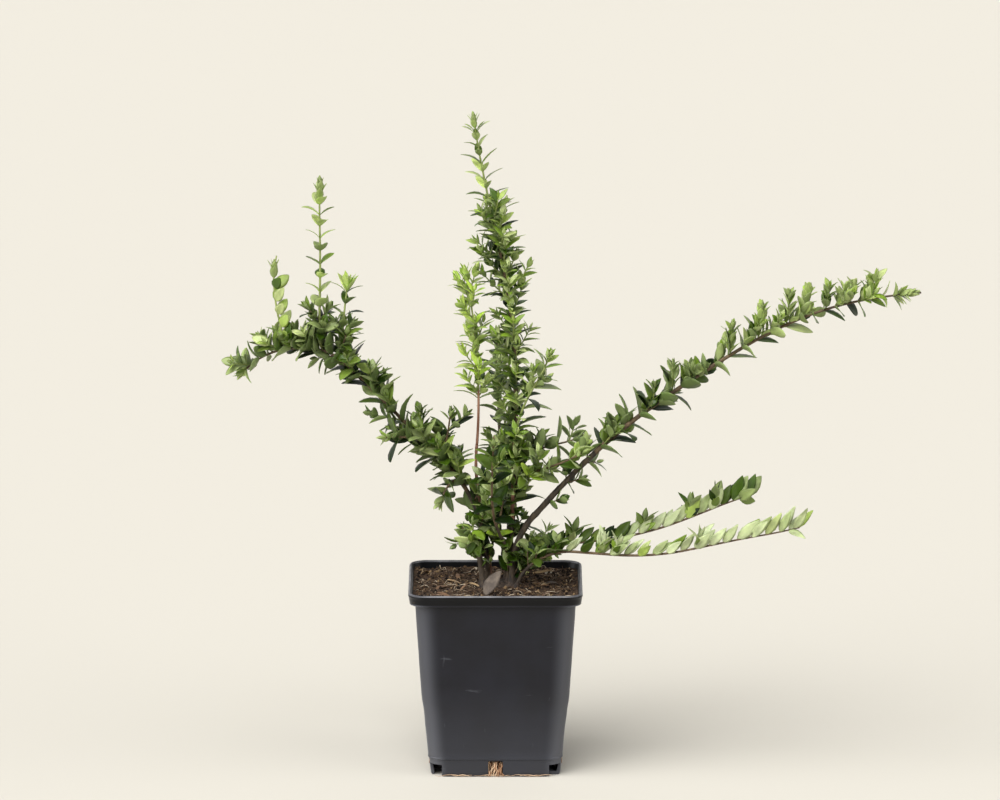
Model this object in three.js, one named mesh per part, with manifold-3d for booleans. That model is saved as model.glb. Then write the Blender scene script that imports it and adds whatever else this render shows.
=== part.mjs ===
// A young box honeysuckle in a square nursery pot.
// Millimetres, +Z up. The origin is the middle of the pot's flat underside.
// +X is to the viewer's right and +Y is away from the viewer.

import * as THREE from "three";
import { mergeVertices } from "three/addons/utils/BufferGeometryUtils.js";
import Module from "manifold-3d";

const wasm = await Module();
wasm.setup();

// Pot
const POT_HEIGHT = 98;
const RIM_WIDTH = 90;
const RIM_HEIGHT = 6;
const RIM_DRAFT = 0.7;
const WALL_TOP_WIDTH = 83;
const FOOT_WIDTH = 67;
const WALL_THICK = 1.2;
const SHOULDER_THICK = 1.4;
const FLOOR_THICK = 1.6;
const CORNER_RADIUS = 9;
const CORNER_STEPS = 4;
const NOTCH_WIDTH = 5;
const NOTCH_HEIGHT = 5.2;
const SLOT_WIDTH = 7.6;
const SLOT_HEIGHT = 8.5;
const SLOT_DEPTH = 7;
const CUT_MARGIN = 1;

// Soil and root collar
const CLEAR = 0.3;
const SOIL_TOP = 94;
const COLLAR_HEIGHT = 4;
const COLLAR_FLARE = 1.8;
const COLLAR_DOME = [9.5, 7, 2.4];
const COLLAR_CENTRE = [2, -0.5];
const COLLAR_RINGS = [0, 0.3, 0.65, 1];

// Growth
const SEED = 41;
const STEP = 2;
const SEGMENT = 9;
const LIMB_SIDES = 7;
const STEM_SIDES = 4;
const TWIG_SIDES = 3;
const TWIG_RADIUS = 0.45;
const TWIG_TAPER = 0.7;
const TWIG_OPEN = 44;
const TWIG_CURL = 12;
const TWIG_VARIES = [0.6, 1.15];
const LONG_TWIG = 12.5;
const AXIL = 1.1;
const PAIR_PLACE = 0.6;
const TURN_VARIES = 0.5;

// Leaves: shares are of the leaf's length, angles are in degrees
const LEAF_WIDTH = 0.6;
const LEAF_THICK = 0.07;
const LEAF_BROADEST = 0.4;
const LEAF_ARCH = 0.1;
const LEAF_DROOP = 0.06;
const LEAF_ROOT = 0.45;
const LEAF_APART = 0.05;
const LEAF_OPEN = 68;
const LEAF_OPEN_VARIES = 16;
const LEAF_VARIES = [0.85, 1.15];
const YOUNG_FROM = 0.8;
const YOUNG_LEAF = 0.7;
const SPRIG_LEAF = 0.85;
const SPRIG_VARIES = [1.1, 0.85];
const SPRIG_OPEN = 50;
const TIP_LEAF = 0.5;

// Meshes
const SHORT_EDGE = 0.02;
const GRID = 0.001;

// Colours
const CHARCOAL = 0x2b2c30;
const PEAT = 0x33241a;
const BARK = 0x4a3526;
const RED_BARK = 0x7c4a33;
const LIME = 0x9db83f;
const FRESH = 0x6f9438;
const MID = 0x4a6d2c;
const DEEP = 0x31491f;

// Each shoot is a foot, a length and its headings at even stations: rise above level and
// bearing from +X towards +Y, in degrees. Its parts are the nodes that it is cut into.
// A part with leaves gives the spacing of its pairs, the leaf's and the side twigs' length,
// the share of leaf axils that carry a twig, how far all of them turn up to the light, and
// how far from its stem its space reaches.
const SHOOTS = [
  {
    name: "stub",
    foot: [-6.2, -4.5],
    length: 17,
    rise: [83],
    bearing: [180],
    thick: [1.7, 1.45],
    parts: [
      { node: "cut_stub", to: 1, bark: BARK },
    ],
  },
  {
    name: "left",
    foot: [-3.4, 0],
    length: 206,
    rise: [86, 84, 79, 66, 52, 46, 45, 46, 45, 45, 38, 4, -10, -32, -56],
    bearing: [180, 176, 172],
    thick: [1.4, 0.45],
    parts: [
      { node: "left_bough", to: 0.25, bark: BARK },
      {
        node: "left_bough_leaves", to: 0.72, pair: 15.5, leaf: 14, twig: 13,
        often: 0.6, lift: 0.2, reach: 22, tint: DEEP,
      },
      {
        node: "left_arch_leaves", to: 1, pair: 10, leaf: 13, twig: 9.5,
        often: 0.5, lift: 0.4, reach: 18, tint: MID,
      },
    ],
  },
  {
    name: "inner",
    foot: [-2.2, 4.6],
    length: 163,
    rise: [85, 84, 78, 84, 95, 91, 88, 85, 82, 79],
    bearing: [180],
    thick: [1.0, 0.4],
    parts: [
      { node: "inner_stem", to: 0.45, bark: RED_BARK },
      {
        node: "inner_leaves", to: 1, pair: 15, leaf: 14, twig: 10,
        often: 0.55, lift: 0.15, reach: 19, tint: LIME,
      },
    ],
  },
  {
    name: "centre",
    foot: [5, 4.2],
    length: 243,
    rise: [83, 83, 86, 89, 89, 91, 94, 97, 100, 102, 102, 101, 98],
    bearing: [0],
    thick: [1.45, 0.4],
    parts: [
      { node: "centre_stem", to: 0.14, bark: BARK },
      {
        node: "centre_low_leaves", to: 0.46, pair: 11.5, leaf: 14.5, twig: 14,
        often: 0.6, lift: 0.1, reach: 23, tint: DEEP,
      },
      {
        node: "centre_mid_leaves", to: 0.73, pair: 11, leaf: 14.5, twig: 13,
        often: 0.65, lift: 0.1, reach: 22, tint: MID,
      },
      {
        node: "centre_top_leaves", to: 1, pair: 10.5, leaf: 12.5, twig: 8.5,
        often: 0.5, lift: 0.1, reach: 16, tint: FRESH,
      },
    ],
  },
  {
    name: "front",
    foot: [6, -1.2],
    length: 129,
    rise: [82, 86, 88, 90, 86, 70, 56, 76],
    bearing: [-20],
    thick: [1.2, 0.4],
    parts: [
      { node: "front_stem", to: 0.26, bark: BARK },
      {
        node: "front_leaves", to: 1, pair: 12, leaf: 14, twig: 10,
        often: 0.45, lift: 0.1, reach: 19, tint: FRESH,
      },
    ],
  },
  {
    name: "right",
    foot: [8.6, -5.4],
    length: 279,
    rise: [93, 77, 48, 48, 45, 41, 37, 35, 34, 32, 28, 22, 15, 9, 6],
    bearing: [0, -4, -6],
    thick: [1.75, 0.45],
    parts: [
      { node: "right_bough", to: 0.31, bark: BARK },
      {
        node: "right_inner_leaves", to: 0.57, pair: 12.5, leaf: 13.5, twig: 10.5,
        often: 0.55, lift: 0.55, reach: 20, tint: MID,
      },
      {
        node: "right_mid_leaves", to: 0.78, pair: 12, leaf: 12.5, twig: 10.5,
        often: 0.6, lift: 0.6, reach: 20, tint: MID,
      },
      {
        node: "right_tip_leaves", to: 1, pair: 12, leaf: 12, twig: 9,
        often: 0.5, lift: 0.55, reach: 18, tint: FRESH,
      },
    ],
  },
  {
    name: "low_back",
    foot: [9.6, 1.4],
    length: 139,
    rise: [82, 25, 1, 4, 11, 18, 20, 16],
    bearing: [20, 14, 10],
    thick: [0.9, 0.4],
    parts: [
      { node: "low_back_stem", to: 0.1, bark: BARK },
      {
        node: "low_back_leaves", to: 1, pair: 18, leaf: 13.5, twig: 9,
        often: 0.25, lift: 0.45, reach: 16, tint: MID,
      },
    ],
  },
  {
    name: "low_front",
    foot: [10.4, -9],
    length: 160,
    rise: [74, 32, -2, -2, 6, 14, 14, 12, 16],
    bearing: [-10, -12, -10],
    thick: [0.9, 0.4],
    parts: [
      { node: "low_front_stem", to: 0.1, bark: BARK },
      {
        node: "low_front_leaves", to: 1, pair: 13, leaf: 14.5, twig: 8,
        often: 0.1, lift: 0.6, reach: 17, tint: FRESH,
      },
    ],
  },
  {
    name: "tall",
    on: ["left", 0.765],
    length: 88,
    rise: [84, 92, 90, 89, 93],
    bearing: [180],
    thick: [0.7, 0.4],
    parts: [
      {
        node: "left_tall_leaves", to: 1, pair: 13, leaf: 11, twig: 9,
        often: 0.25, lift: 0, reach: 13, tint: FRESH,
      },
    ],
  },
  {
    name: "second",
    on: ["left", 0.855],
    length: 49,
    rise: [76, 78, 86, 104],
    bearing: [185],
    thick: [0.6, 0.4],
    parts: [
      {
        node: "left_second_leaves", to: 1, pair: 9.5, leaf: 10.5, twig: 8,
        often: 0.15, lift: 0, reach: 13, tint: LIME,
      },
    ],
  },
  {
    name: "third",
    on: ["left", 0.71],
    length: 42,
    rise: [86, 84, 80],
    bearing: [30],
    thick: [0.6, 0.4],
    parts: [
      {
        node: "left_third_leaves", to: 1, pair: 8.5, leaf: 10, twig: 7,
        often: 0.3, lift: 0, reach: 13, tint: LIME,
      },
    ],
  },
  {
    name: "hanging",
    on: ["left", 0.415],
    length: 21,
    rise: [22, 4, -2],
    bearing: [205, 190],
    thick: [0.6, 0.4],
    parts: [
      {
        node: "left_hanging_leaves", to: 1, pair: 8, leaf: 13.5, twig: 8,
        often: 0.2, lift: 0.1, reach: 16, tint: DEEP,
      },
    ],
  },
  {
    name: "rising",
    on: ["left", 0.36],
    length: 26,
    rise: [60, 78, 84],
    bearing: [-40],
    thick: [0.6, 0.4],
    parts: [
      {
        node: "left_rising_leaves", to: 1, pair: 8.5, leaf: 12.5, twig: 8,
        often: 0.2, lift: 0.1, reach: 15, tint: DEEP,
      },
    ],
  },
  {
    name: "spray_low",
    on: ["front", 0.44],
    length: 43,
    rise: [22, 20, 24, 32],
    bearing: [-28, -16],
    thick: [0.7, 0.4],
    parts: [
      {
        node: "spray_low_leaves", to: 1, pair: 9, leaf: 12.5, twig: 8,
        often: 0.3, lift: 0.2, reach: 16, tint: MID,
      },
    ],
  },
  {
    name: "spray_high",
    on: ["front", 0.53],
    length: 38,
    rise: [10, 14, 8, 20],
    bearing: [24, 16],
    thick: [0.7, 0.4],
    parts: [
      {
        node: "spray_high_leaves", to: 1, pair: 10, leaf: 12.5, twig: 8,
        often: 0.3, lift: 0.2, reach: 16, tint: MID,
      },
    ],
  },
  {
    name: "back",
    on: ["centre", 0.1],
    length: 108,
    rise: [52, 62, 72, 80],
    bearing: [104, 92],
    thick: [1, 0.4],
    parts: [
      { node: "back_stem", to: 0.3, bark: BARK },
      {
        node: "back_leaves", to: 1, pair: 12, leaf: 13.5, twig: 11,
        often: 0.45, lift: 0.2, reach: 19, tint: MID,
      },
    ],
  },
  {
    name: "back_low",
    on: ["centre", 0.045],
    length: 92,
    rise: [60, 34, 26, 34],
    bearing: [88],
    thick: [0.9, 0.4],
    parts: [
      { node: "back_low_stem", to: 0.25, bark: BARK },
      {
        node: "back_low_leaves", to: 1, pair: 13.5, leaf: 12.5, twig: 10,
        often: 0.4, lift: 0.4, reach: 18, tint: MID,
      },
    ],
  },
  {
    name: "forward",
    on: ["front", 0.14],
    length: 82,
    rise: [44, 50, 62, 74],
    bearing: [-124, -92, -80],
    thick: [0.9, 0.4],
    parts: [
      { node: "forward_stem", to: 0.25, bark: BARK },
      {
        node: "forward_leaves", to: 1, pair: 15, leaf: 13.5, twig: 10,
        often: 0.4, lift: 0.2, reach: 18, tint: MID,
      },
    ],
  },
  {
    name: "base_left",
    on: ["left", 0.1],
    length: 14,
    rise: [46, 30],
    bearing: [215, 196],
    thick: [0.6, 0.4],
    parts: [
      {
        node: "base_left_leaves", to: 1, pair: 6.5, leaf: 11, twig: 6,
        often: 0.3, lift: 0.2, reach: 13, tint: DEEP,
      },
    ],
  },
  {
    name: "base_right",
    on: ["front", 0.11],
    length: 20,
    rise: [34, 26],
    bearing: [-6, 4],
    thick: [0.6, 0.4],
    parts: [
      {
        node: "base_right_leaves", to: 1, pair: 7, leaf: 11, twig: 6,
        often: 0.3, lift: 0.2, reach: 13, tint: DEEP,
      },
    ],
  },
  {
    name: "low_mid",
    on: ["inner", 0.1],
    length: 50,
    rise: [56, 78, 92],
    bearing: [-52],
    thick: [0.7, 0.4],
    parts: [
      {
        node: "low_mid_leaves", to: 1, pair: 10, leaf: 13, twig: 8,
        often: 0.3, lift: 0.2, reach: 15, tint: DEEP,
      },
    ],
  },
  {
    name: "low_left",
    on: ["left", 0.29],
    length: 17,
    rise: [-20, -60, -76],
    bearing: [214, 200],
    thick: [0.7, 0.4],
    parts: [
      {
        node: "low_left_leaves", to: 1, pair: 8, leaf: 12, twig: 7,
        often: 0.1, lift: 0.2, reach: 15, tint: DEEP,
      },
    ],
  },
  {
    name: "inner_low",
    on: ["inner", 0.3],
    length: 34,
    rise: [34, 48, 30],
    bearing: [150, 168],
    thick: [0.6, 0.4],
    parts: [
      {
        node: "inner_low_leaves", to: 1, pair: 9.5, leaf: 13, twig: 8,
        often: 0.3, lift: 0.1, reach: 15, tint: MID,
      },
    ],
  },
  {
    name: "inner_side",
    on: ["inner", 0.36],
    length: 30,
    rise: [40, 30, 16],
    bearing: [-16, -8],
    thick: [0.6, 0.4],
    parts: [
      {
        node: "inner_side_leaves", to: 1, pair: 9.5, leaf: 13, twig: 8,
        often: 0.3, lift: 0.1, reach: 15, tint: MID,
      },
    ],
  },
];

const up = new THREE.Vector3(0, 0, 1);

// A number from 0 to 1 that depends only on the seed and the whole numbers given.
function roll(...keys) {
  let hash = SEED;
  for (const key of keys) {
    hash = Math.imul(hash ^ (key + 0x9e3779b9), 0x85ebca6b);
    hash ^= hash >>> 13;
    hash = Math.imul(hash, 0xc2b2ae35);
    hash ^= hash >>> 16;
  }
  return (hash >>> 0) / 2 ** 32;
}

const radians = THREE.MathUtils.degToRad;
const mix = THREE.MathUtils.lerp;

// The value at a share of the way along a list of evenly spaced stations.
function between(stations, share) {
  const place = share * (stations.length - 1);
  const index = Math.min(Math.floor(place), stations.length - 2);
  if (stations.length === 1) return stations[0];
  return mix(stations[index], stations[index + 1], place - index);
}

function heading(rise, bearing) {
  const level = Math.cos(radians(rise));
  return new THREE.Vector3(
    level * Math.cos(radians(bearing)),
    level * Math.sin(radians(bearing)),
    Math.sin(radians(rise)),
  );
}

// A closed solid through rings of equal size, given from its bottom to its top.
function loft(rings) {
  const size = rings[0].length;
  const corners = [];
  const faces = [];
  for (const ring of rings) {
    for (const point of ring) corners.push(point.x, point.y, point.z);
  }
  for (let level = 0; level + 1 < rings.length; level++) {
    for (let i = 0; i < size; i++) {
      const a = level * size + i;
      const b = level * size + ((i + 1) % size);
      faces.push(a, b, b + size, a, b + size, a + size);
    }
  }
  const last = (rings.length - 1) * size;
  for (let i = 1; i + 1 < size; i++) {
    faces.push(0, i + 1, i);
    faces.push(last, last + i, last + i + 1);
  }
  return geometryOf(corners, faces);
}

function geometryOf(corners, faces) {
  const geometry = new THREE.BufferGeometry();
  geometry.setAttribute("position", new THREE.Float32BufferAttribute(corners, 3));
  geometry.setIndex(faces);
  return geometry;
}

function solidOf(geometry) {
  const bare = geometry.clone();
  bare.deleteAttribute("normal");
  bare.deleteAttribute("uv");
  const merged = mergeVertices(bare, 1e-4);
  return new wasm.Manifold(
    new wasm.Mesh({
      numProp: 3,
      vertProperties: merged.attributes.position.array,
      triVerts: new Uint32Array(merged.index.array),
    }),
  );
}

function meshOf(name, solid, colour, roughness) {
  const made = solid.getMesh();
  const geometry = new THREE.BufferGeometry();
  geometry.setAttribute("position", new THREE.BufferAttribute(made.vertProperties, 3));
  geometry.setIndex(new THREE.BufferAttribute(made.triVerts, 1));
  geometry.computeVertexNormals();
  const material = new THREE.MeshStandardMaterial({ color: colour, roughness, metalness: 0 });
  const mesh = new THREE.Mesh(geometry, material);
  mesh.name = name;
  return mesh;
}

// The largest of a solid's bodies, with loose scraps dropped and sealed hollows filled.
function largestBody(solid) {
  const bodies = solid.decompose();
  return bodies.reduce((best, body) => (body.volume() > best.volume() ? body : best));
}

// A fused solid without needless short edges, its corners on a fine grid.
function cleaned(solid) {
  const made = largestBody(solid).simplify(SHORT_EDGE).getMesh();
  const corners = made.vertProperties.map((value) => Math.round(value / GRID) * GRID);
  return largestBody(solidOf(geometryOf(corners, Array.from(made.triVerts))));
}

// Pot

function roundedSquare(half, radius, z) {
  const ring = [];
  for (let quarter = 0; quarter < 4; quarter++) {
    const start = (quarter * Math.PI) / 2;
    const middle = start + Math.PI / 4;
    const reach = (half - radius) * Math.SQRT2;
    for (let i = 0; i <= CORNER_STEPS; i++) {
      const angle = start + ((i / CORNER_STEPS) * Math.PI) / 2;
      ring.push(
        new THREE.Vector3(
          reach * Math.cos(middle) + radius * Math.cos(angle),
          reach * Math.sin(middle) + radius * Math.sin(angle),
          z,
        ),
      );
    }
  }
  return ring;
}

// Half the wall's outer width at each height, from the foot to the shoulder under the rim.
const WALL = [
  [0, FOOT_WIDTH / 2],
  [7, FOOT_WIDTH / 2 + 0.6],
  [35, 37.2],
  [42, 38.2],
  [POT_HEIGHT - RIM_HEIGHT, WALL_TOP_WIDTH / 2],
];

function wallRings(inset, low) {
  return WALL.map(([z, half], level) =>
    roundedSquare(half - inset, CORNER_RADIUS - inset, level === 0 ? low : z),
  );
}

function potSolid() {
  const shoulder = POT_HEIGHT - RIM_HEIGHT;
  const rim = RIM_WIDTH / 2;
  const lip = rim - WALL_THICK;
  const outside = [
    ...wallRings(0, 0),
    roundedSquare(rim - RIM_DRAFT, CORNER_RADIUS, shoulder),
    roundedSquare(rim, CORNER_RADIUS, POT_HEIGHT),
  ];
  const inside = [
    ...wallRings(WALL_THICK, FLOOR_THICK),
    roundedSquare(lip - RIM_DRAFT, CORNER_RADIUS - WALL_THICK, shoulder + SHOULDER_THICK),
    roundedSquare(lip, CORNER_RADIUS - WALL_THICK, POT_HEIGHT),
  ];
  let pot = solidOf(loft([...outside, ...inside.reverse()]));
  const notch = NOTCH_WIDTH + CUT_MARGIN;
  const slot = SLOT_DEPTH + CUT_MARGIN;
  const edge = FOOT_WIDTH / 2 + CUT_MARGIN;
  const corner = new THREE.BoxGeometry(notch, notch, 2 * NOTCH_HEIGHT);
  corner.translate(edge - notch / 2, edge - notch / 2, 0);
  const middle = new THREE.BoxGeometry(SLOT_WIDTH, slot, 2 * SLOT_HEIGHT);
  middle.translate(0, edge - slot / 2, 0);
  for (let side = 0; side < 4; side++) {
    for (const cut of [corner, middle]) {
      pot = pot.subtract(solidOf(cut.clone().rotateZ((side * Math.PI) / 2)));
    }
  }
  return pot;
}

function soilSolid() {
  const gap = WALL_THICK + CLEAR;
  const shoulder = POT_HEIGHT - RIM_HEIGHT;
  const half = RIM_WIDTH / 2 - RIM_DRAFT - gap;
  const low = shoulder + SHOULDER_THICK + CLEAR;
  return solidOf(
    loft([
      ...wallRings(gap, FLOOR_THICK + CLEAR),
      roundedSquare(half, CORNER_RADIUS - gap, low),
      roundedSquare(half, CORNER_RADIUS - gap, SOIL_TOP),
    ]),
  );
}

// Shoots

// Walks along a shoot in even steps, with a side direction that turns no more than the shoot.
function trace(foot, length, rise, bearing) {
  const count = Math.max(3, Math.round(length / STEP));
  const pace = length / count;
  const points = [foot.clone()];
  const ways = [heading(rise[0], bearing[0])];
  for (let i = 1; i <= count; i++) {
    const middle = (i - 0.5) / count;
    const way = heading(between(rise, middle), between(bearing, middle));
    points.push(points[i - 1].clone().addScaledVector(way, pace));
    ways.push(heading(between(rise, i / count), between(bearing, i / count)));
  }
  const sides = [across(ways[0], new THREE.Vector3(0, 1, 0))];
  for (let i = 1; i <= count; i++) sides.push(across(ways[i], sides[i - 1]));
  return { points, ways, sides, length };
}

// The unit direction square to a way that lies nearest to a wish.
function across(way, wish) {
  return wish.clone().addScaledVector(way, -wish.dot(way)).normalize();
}

function stationAt(path, share) {
  const place = THREE.MathUtils.clamp(share, 0, 1) * (path.points.length - 1);
  const index = Math.min(Math.floor(place), path.points.length - 2);
  const part = place - index;
  const way = path.ways[index].clone().lerp(path.ways[index + 1], part).normalize();
  return {
    point: path.points[index].clone().lerp(path.points[index + 1], part),
    way,
    side: across(way, path.sides[index].clone().lerp(path.sides[index + 1], part)),
  };
}

function ringAt(station, radius, sides) {
  const third = station.way.clone().cross(station.side);
  const ring = [];
  for (let i = 0; i < sides; i++) {
    const angle = (i / sides) * 2 * Math.PI;
    ring.push(
      station.point
        .clone()
        .addScaledVector(station.side, radius * Math.cos(angle))
        .addScaledVector(third, radius * Math.sin(angle)),
    );
  }
  return ring;
}

function limb(path, from, to, thick, sides, segment) {
  const pieces = Math.ceil(((to - from) * path.length) / segment);
  const rings = [];
  for (let i = 0; i <= pieces; i++) {
    const share = mix(from, to, i / pieces);
    rings.push(ringAt(stationAt(path, share), mix(...thick, share), sides));
  }
  return solidOf(loft(rings));
}

// A leaf of six faces: a blade arched over its broadest line, with its midrib as a keel below.
function leafSolid(root, way, face, length) {
  const upper = across(way, face);
  const wide = way.clone().cross(upper).multiplyScalar((LEAF_WIDTH * length) / 2);
  const middle = root
    .clone()
    .addScaledVector(way, LEAF_BROADEST * length)
    .addScaledVector(upper, LEAF_ARCH * length);
  const keel = middle.clone().addScaledVector(upper, -LEAF_THICK * length);
  const tip = root.clone().addScaledVector(way, length).addScaledVector(upper, -LEAF_DROOP * length);
  const corners = [root, middle.clone().add(wide), middle.clone().sub(wide), keel, tip];
  const faces = [0, 1, 2, 0, 2, 3, 0, 3, 1, 4, 2, 1, 4, 3, 2, 4, 1, 3];
  return solidOf(geometryOf(corners.flatMap((corner) => corner.toArray()), faces));
}

const obstacles = [];

function boxesMeet(a, b) {
  for (let axis = 0; axis < 3; axis++) {
    if (a.min[axis] - CLEAR > b.max[axis] || b.min[axis] - CLEAR > a.max[axis]) return false;
  }
  return true;
}

// Whether a solid keeps its clearance to everything that belongs to another node.
function isClear(solid, node) {
  const box = solid.boundingBox();
  return obstacles.every(
    (other) =>
      other.node === node ||
      !boxesMeet(box, other.box) ||
      solid.minGap(other.solid, CLEAR) >= CLEAR,
  );
}

function addObstacle(node, solid) {
  obstacles.push({ node, solid, box: solid.boundingBox() });
}

// The direction of a side organ that leaves a shoot at an angle and turns up to the light.
function outward(station, around, open, lift) {
  const third = station.way.clone().cross(station.side);
  return station.way
    .clone()
    .multiplyScalar(Math.cos(radians(open)))
    .addScaledVector(station.side, Math.sin(radians(open)) * Math.cos(around))
    .addScaledVector(third, Math.sin(radians(open)) * Math.sin(around))
    .addScaledVector(up, lift)
    .normalize();
}

// A leaf beside a twig of the given thickness, its root sunk more than halfway to the axis.
function leafAt(station, around, radius, open, lift, length) {
  const way = outward(station, around, open, lift);
  const face = station.way.clone().addScaledVector(up, lift);
  const root = station.point.clone().addScaledVector(across(station.way, way), LEAF_ROOT * radius);
  return leafSolid(root, way, face, length);
}

// A side twig with pairs of leaves along it and one leaf at its tip.
function sprig(station, around, part, length, key) {
  const way = outward(station, around, TWIG_OPEN, part.lift);
  const rise = THREE.MathUtils.radToDeg(Math.asin(way.z));
  const bearing = THREE.MathUtils.radToDeg(Math.atan2(way.y, way.x));
  const path = trace(station.point, length, [rise, rise + TWIG_CURL * part.lift], [bearing]);
  const thick = [TWIG_RADIUS, TWIG_RADIUS * TWIG_TAPER];
  const twig = limb(path, 0, 1, thick, TWIG_SIDES, length);
  const leaves = [];
  const pairs = length > LONG_TWIG ? 2 : 1;
  for (let i = 0; i < pairs; i++) {
    const share = (i + PAIR_PLACE) / pairs;
    const place = stationAt(path, share);
    const turn = (i % 2) * (Math.PI / 2) + roll(...key, i, 1);
    const size = SPRIG_LEAF * part.leaf * mix(...SPRIG_VARIES, share);
    for (const half of [0, Math.PI]) {
      leaves.push(leafAt(place, turn + half, thick[1], SPRIG_OPEN, part.lift, size));
    }
  }
  const end = stationAt(path, 1 - TWIG_RADIUS / length);
  leaves.push(leafSolid(end.point, end.way, end.side, SPRIG_LEAF * part.leaf));
  return { twig, leaves };
}

// Whether a solid stays within a reach of a path.
function isWithin(solid, path, reach) {
  const { vertProperties } = solid.getMesh();
  for (let i = 0; i < vertProperties.length; i += 3) {
    const corner = new THREE.Vector3().fromArray(vertProperties, i);
    if (!path.points.some((point) => point.distanceTo(corner) < reach)) return false;
  }
  return true;
}

// A mass: its stem, then at each axil a leaf and often a sprig. What would leave the mass's
// space, or touch another node or a leaf that is already there, is left out.
function leafyNode(shoot, number, part, from, stem) {
  const path = shoot.path;
  const twigs = [stem];
  const leaves = [];
  const fits = (piece) => isWithin(piece, path, part.reach) && isClear(piece, part.node);
  const isFree = (piece) => leaves.every((leaf) => piece.minGap(leaf, 1) > LEAF_APART);
  const addLeaf = (leaf) => {
    if (fits(leaf) && isFree(leaf)) leaves.push(leaf);
  };
  const span = (part.to - from) * path.length;
  const pairs = Math.max(1, Math.round(span / part.pair));
  for (let i = 0; i < pairs; i++) {
    const share = mix(from, part.to, (i + PAIR_PLACE) / pairs);
    const radius = mix(...shoot.thick, share);
    const turn = (i % 2) * (Math.PI / 2) + TURN_VARIES * roll(number, i, 2);
    const youth = mix(1, YOUNG_LEAF, Math.max(0, (share - YOUNG_FROM) / (1 - YOUNG_FROM)));
    for (const side of [0, 1]) {
      const around = turn + side * Math.PI;
      const size = part.leaf * youth * mix(...LEAF_VARIES, roll(number, i, side, 3));
      const open = LEAF_OPEN + LEAF_OPEN_VARIES * (roll(number, i, side, 4) - 0.5);
      addLeaf(leafAt(stationAt(path, share), around, radius, open, part.lift, size));
      if (roll(number, i, side, 5) >= part.often) continue;
      const length = part.twig * youth * mix(...TWIG_VARIES, roll(number, i, side, 6));
      const axil = stationAt(path, share + AXIL / path.length);
      const made = sprig(axil, around, part, length, [number, i, side]);
      if (!fits(made.twig) || !isFree(made.twig)) continue;
      twigs.push(made.twig);
      made.leaves.forEach(addLeaf);
    }
  }
  const end = stationAt(path, part.to - TWIG_RADIUS / path.length);
  if (part.to === 1) addLeaf(leafSolid(end.point, end.way, end.side, TIP_LEAF * part.leaf));
  return cleaned(wasm.Manifold.union([...twigs, ...leaves]));
}

// Where a shoot starts: on the soil, or clear of the bark of the shoot that carries it.
function footOf(shoot) {
  if (shoot.foot) return new THREE.Vector3(...shoot.foot, SOIL_TOP + CLEAR);
  const [name, share] = shoot.on;
  const parent = SHOOTS.find((other) => other.name === name);
  const station = stationAt(parent.path, share);
  const way = heading(shoot.rise[0], shoot.bearing[0]);
  const along = Math.abs(way.dot(station.way));
  const square = Math.sqrt(1 - along * along);
  const bark = mix(...parent.thick, share);
  return station.point.addScaledVector(way, (bark + CLEAR + shoot.thick[0] * along) / square);
}

function collarSolid() {
  const [halfX, halfY, rise] = COLLAR_DOME;
  const ground = SOIL_TOP + CLEAR;
  const dome = new THREE.SphereGeometry(1, 12, 6).rotateX(Math.PI / 2).scale(halfX, halfY, rise);
  dome.translate(...COLLAR_CENTRE, ground);
  const lobes = SHOOTS.filter((shoot) => shoot.foot).map((shoot) => {
    const share = COLLAR_HEIGHT / shoot.path.length;
    const rings = COLLAR_RINGS.map((part) => {
      const station = stationAt(shoot.path, share * part);
      const flare = 1 + COLLAR_FLARE * (1 - part) ** 2;
      return ringAt(station, shoot.thick[0] * flare, LIMB_SIDES);
    });
    return solidOf(loft(rings));
  });
  const whole = wasm.Manifold.union([solidOf(dome), ...lobes]);
  const below = new THREE.BoxGeometry(RIM_WIDTH, RIM_WIDTH, ground).translate(0, 0, ground / 2);
  return cleaned(whole.subtract(solidOf(below)));
}

// Assembly

const plant = new THREE.Group();
plant.name = "potted_box_honeysuckle";

for (const shoot of SHOOTS) {
  shoot.path = trace(footOf(shoot), shoot.length, shoot.rise, shoot.bearing);
}

const pot = potSolid();
const soil = soilSolid();
const collar = collarSolid();
addObstacle("pot", pot);
addObstacle("soil", soil);
addObstacle("root_collar", collar);
plant.add(meshOf("pot", pot, CHARCOAL, 0.55));
plant.add(meshOf("soil", soil, PEAT, 0.95));
plant.add(meshOf("root_collar", collar, BARK, 0.85));

const stems = [];
for (const shoot of SHOOTS) {
  let from = shoot.foot ? (COLLAR_HEIGHT + CLEAR) / shoot.length : 0;
  for (const part of shoot.parts) {
    const sides = part.leaf ? STEM_SIDES : LIMB_SIDES;
    const stem = limb(shoot.path, from, part.to, shoot.thick, sides, SEGMENT);
    addObstacle(part.node, stem);
    stems.push({ shoot, part, from, stem });
    from = part.to + CLEAR / shoot.length;
  }
}

stems.forEach(({ shoot, part, from, stem }, number) => {
  if (part.leaf) {
    const mass = leafyNode(shoot, number, part, from, stem);
    addObstacle(part.node, mass);
    plant.add(meshOf(part.node, mass, part.tint, 0.6));
  } else {
    plant.add(meshOf(part.node, stem, part.bark, 0.8));
  }
});

export default plant;
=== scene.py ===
"""A young box honeysuckle in a square nursery pot: bark, leaves, soil and moulded plastic.

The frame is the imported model's, in metres. Shapes are worked out in millimetres and turned
into metres where a mesh is made. The shoots and the growth rule are those of the part's
source, carried on to finer twigs and smaller leaves.
"""
import math

import bpy
import numpy as np
from mathutils import Matrix, Vector, kdtree, noise


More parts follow.
